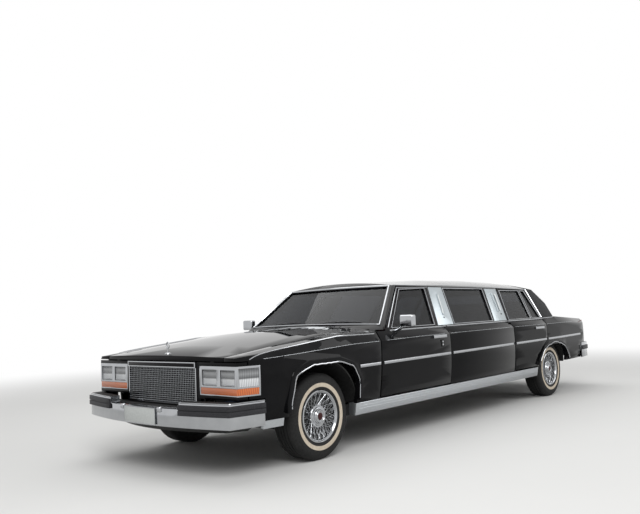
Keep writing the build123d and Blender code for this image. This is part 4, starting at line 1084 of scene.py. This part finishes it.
for k, y in enumerate((0.49, 0.57)):
    lathe("battery_post_%d" % k, (2.80, y, 0.763), ((0, 0.018), (0.008, 0.017), (0.009, 0.0), (0, 0.0)), (0, 0, 1), 16,
          "cast_iron", "root", steel)
block("washer_bottle", (2.66, -0.62, 0.60), (2.80, -0.50, 0.755), "lamp_lens", "root", extras["milk"], 0.014, 3)
for number, y in ((1, 0.452), (0, -0.452)):
    block("inner_rail_%d" % number, (1.98, y - 0.006, 0.50), (2.98, y + 0.006, 0.60), edge=0.003)
print("engine made")

# Studio: pale floor that fades to white, white surround, three soft lamps
studio = {"floor": 60, "near": 4.6, "far": 12, "floorColour": (0.66, 0.66, 0.65), "ambient": 0.5, "aim": (0, 0, 0.6)}
# Columns: name, place, size, power
lamps = (("key lamp", (7, 6, 7), 5, 520), ("fill lamp", (-6, 8, 6), 6, 260), ("top lamp", (0, -2, 8), 8, 330))


def seenRays(tree):
    path = addNode(tree, "ShaderNodeLightPath").outputs
    either = mathOf(tree, "MAXIMUM", path["Is Camera Ray"], path["Is Glossy Ray"])
    return mathOf(tree, "MAXIMUM", either, path["Is Transmission Ray"])


def makeFloor():
    clearSelection()
    bpy.ops.mesh.primitive_circle_add(vertices=96, radius=studio["floor"], fill_type="NGON")
    floor = bpy.context.object
    floor.name = "studio_floor"
    finish, tree, shader = newFinish("pale floor", Roughness=0.9, Specular_IOR_Level=0.1)
    join(tree, ramp(tree, noiseField(tree, 0.6), studio["floorColour"],
                    tuple(c * 1.02 for c in studio["floorColour"])), shader.inputs["Base Color"])
    length = placedNode(tree, "ShaderNodeVectorMath", operation="LENGTH")
    fade = rangeOf(tree, length.outputs["Value"], 0.0, 1.0, studio["near"], studio["far"], "SMOOTHSTEP")
    white = addNode(tree, "ShaderNodeEmission", Strength=1.0)
    mix = addNode(tree, "ShaderNodeMixShader")
    for k, source in enumerate((mathOf(tree, "MULTIPLY", fade, seenRays(tree)), shader.outputs[0], white.outputs[0])):
        join(tree, source, mix.inputs[k])
    join(tree, mix.outputs[0], tree.nodes["Material Output"].inputs["Surface"])
    floor.data.materials.append(finish)


def makeSurround():
    world = bpy.data.worlds.new("studio")
    bpy.context.scene.world = world
    world.use_nodes = True
    back = world.node_tree.nodes["Background"]
    back.inputs["Color"].default_value = (1, 1, 1, 1)
    join(world.node_tree, rangeOf(world.node_tree, seenRays(world.node_tree), studio["ambient"], 1.0),
         back.inputs["Strength"])


makeFloor()
makeSurround()
for name, place, size, power in lamps:
    bpy.ops.object.light_add(type="AREA", location=place)
    lamp = bpy.context.object
    lamp.name = name
    lamp.data.size = size
    lamp.data.energy = power
    lamp.rotation_euler = (Vector(studio["aim"]) - Vector(place)).to_track_quat("-Z", "Y").to_euler()
bpy.context.scene.view_settings.view_transform = "Standard"
placeCamera()
print("studio ready")
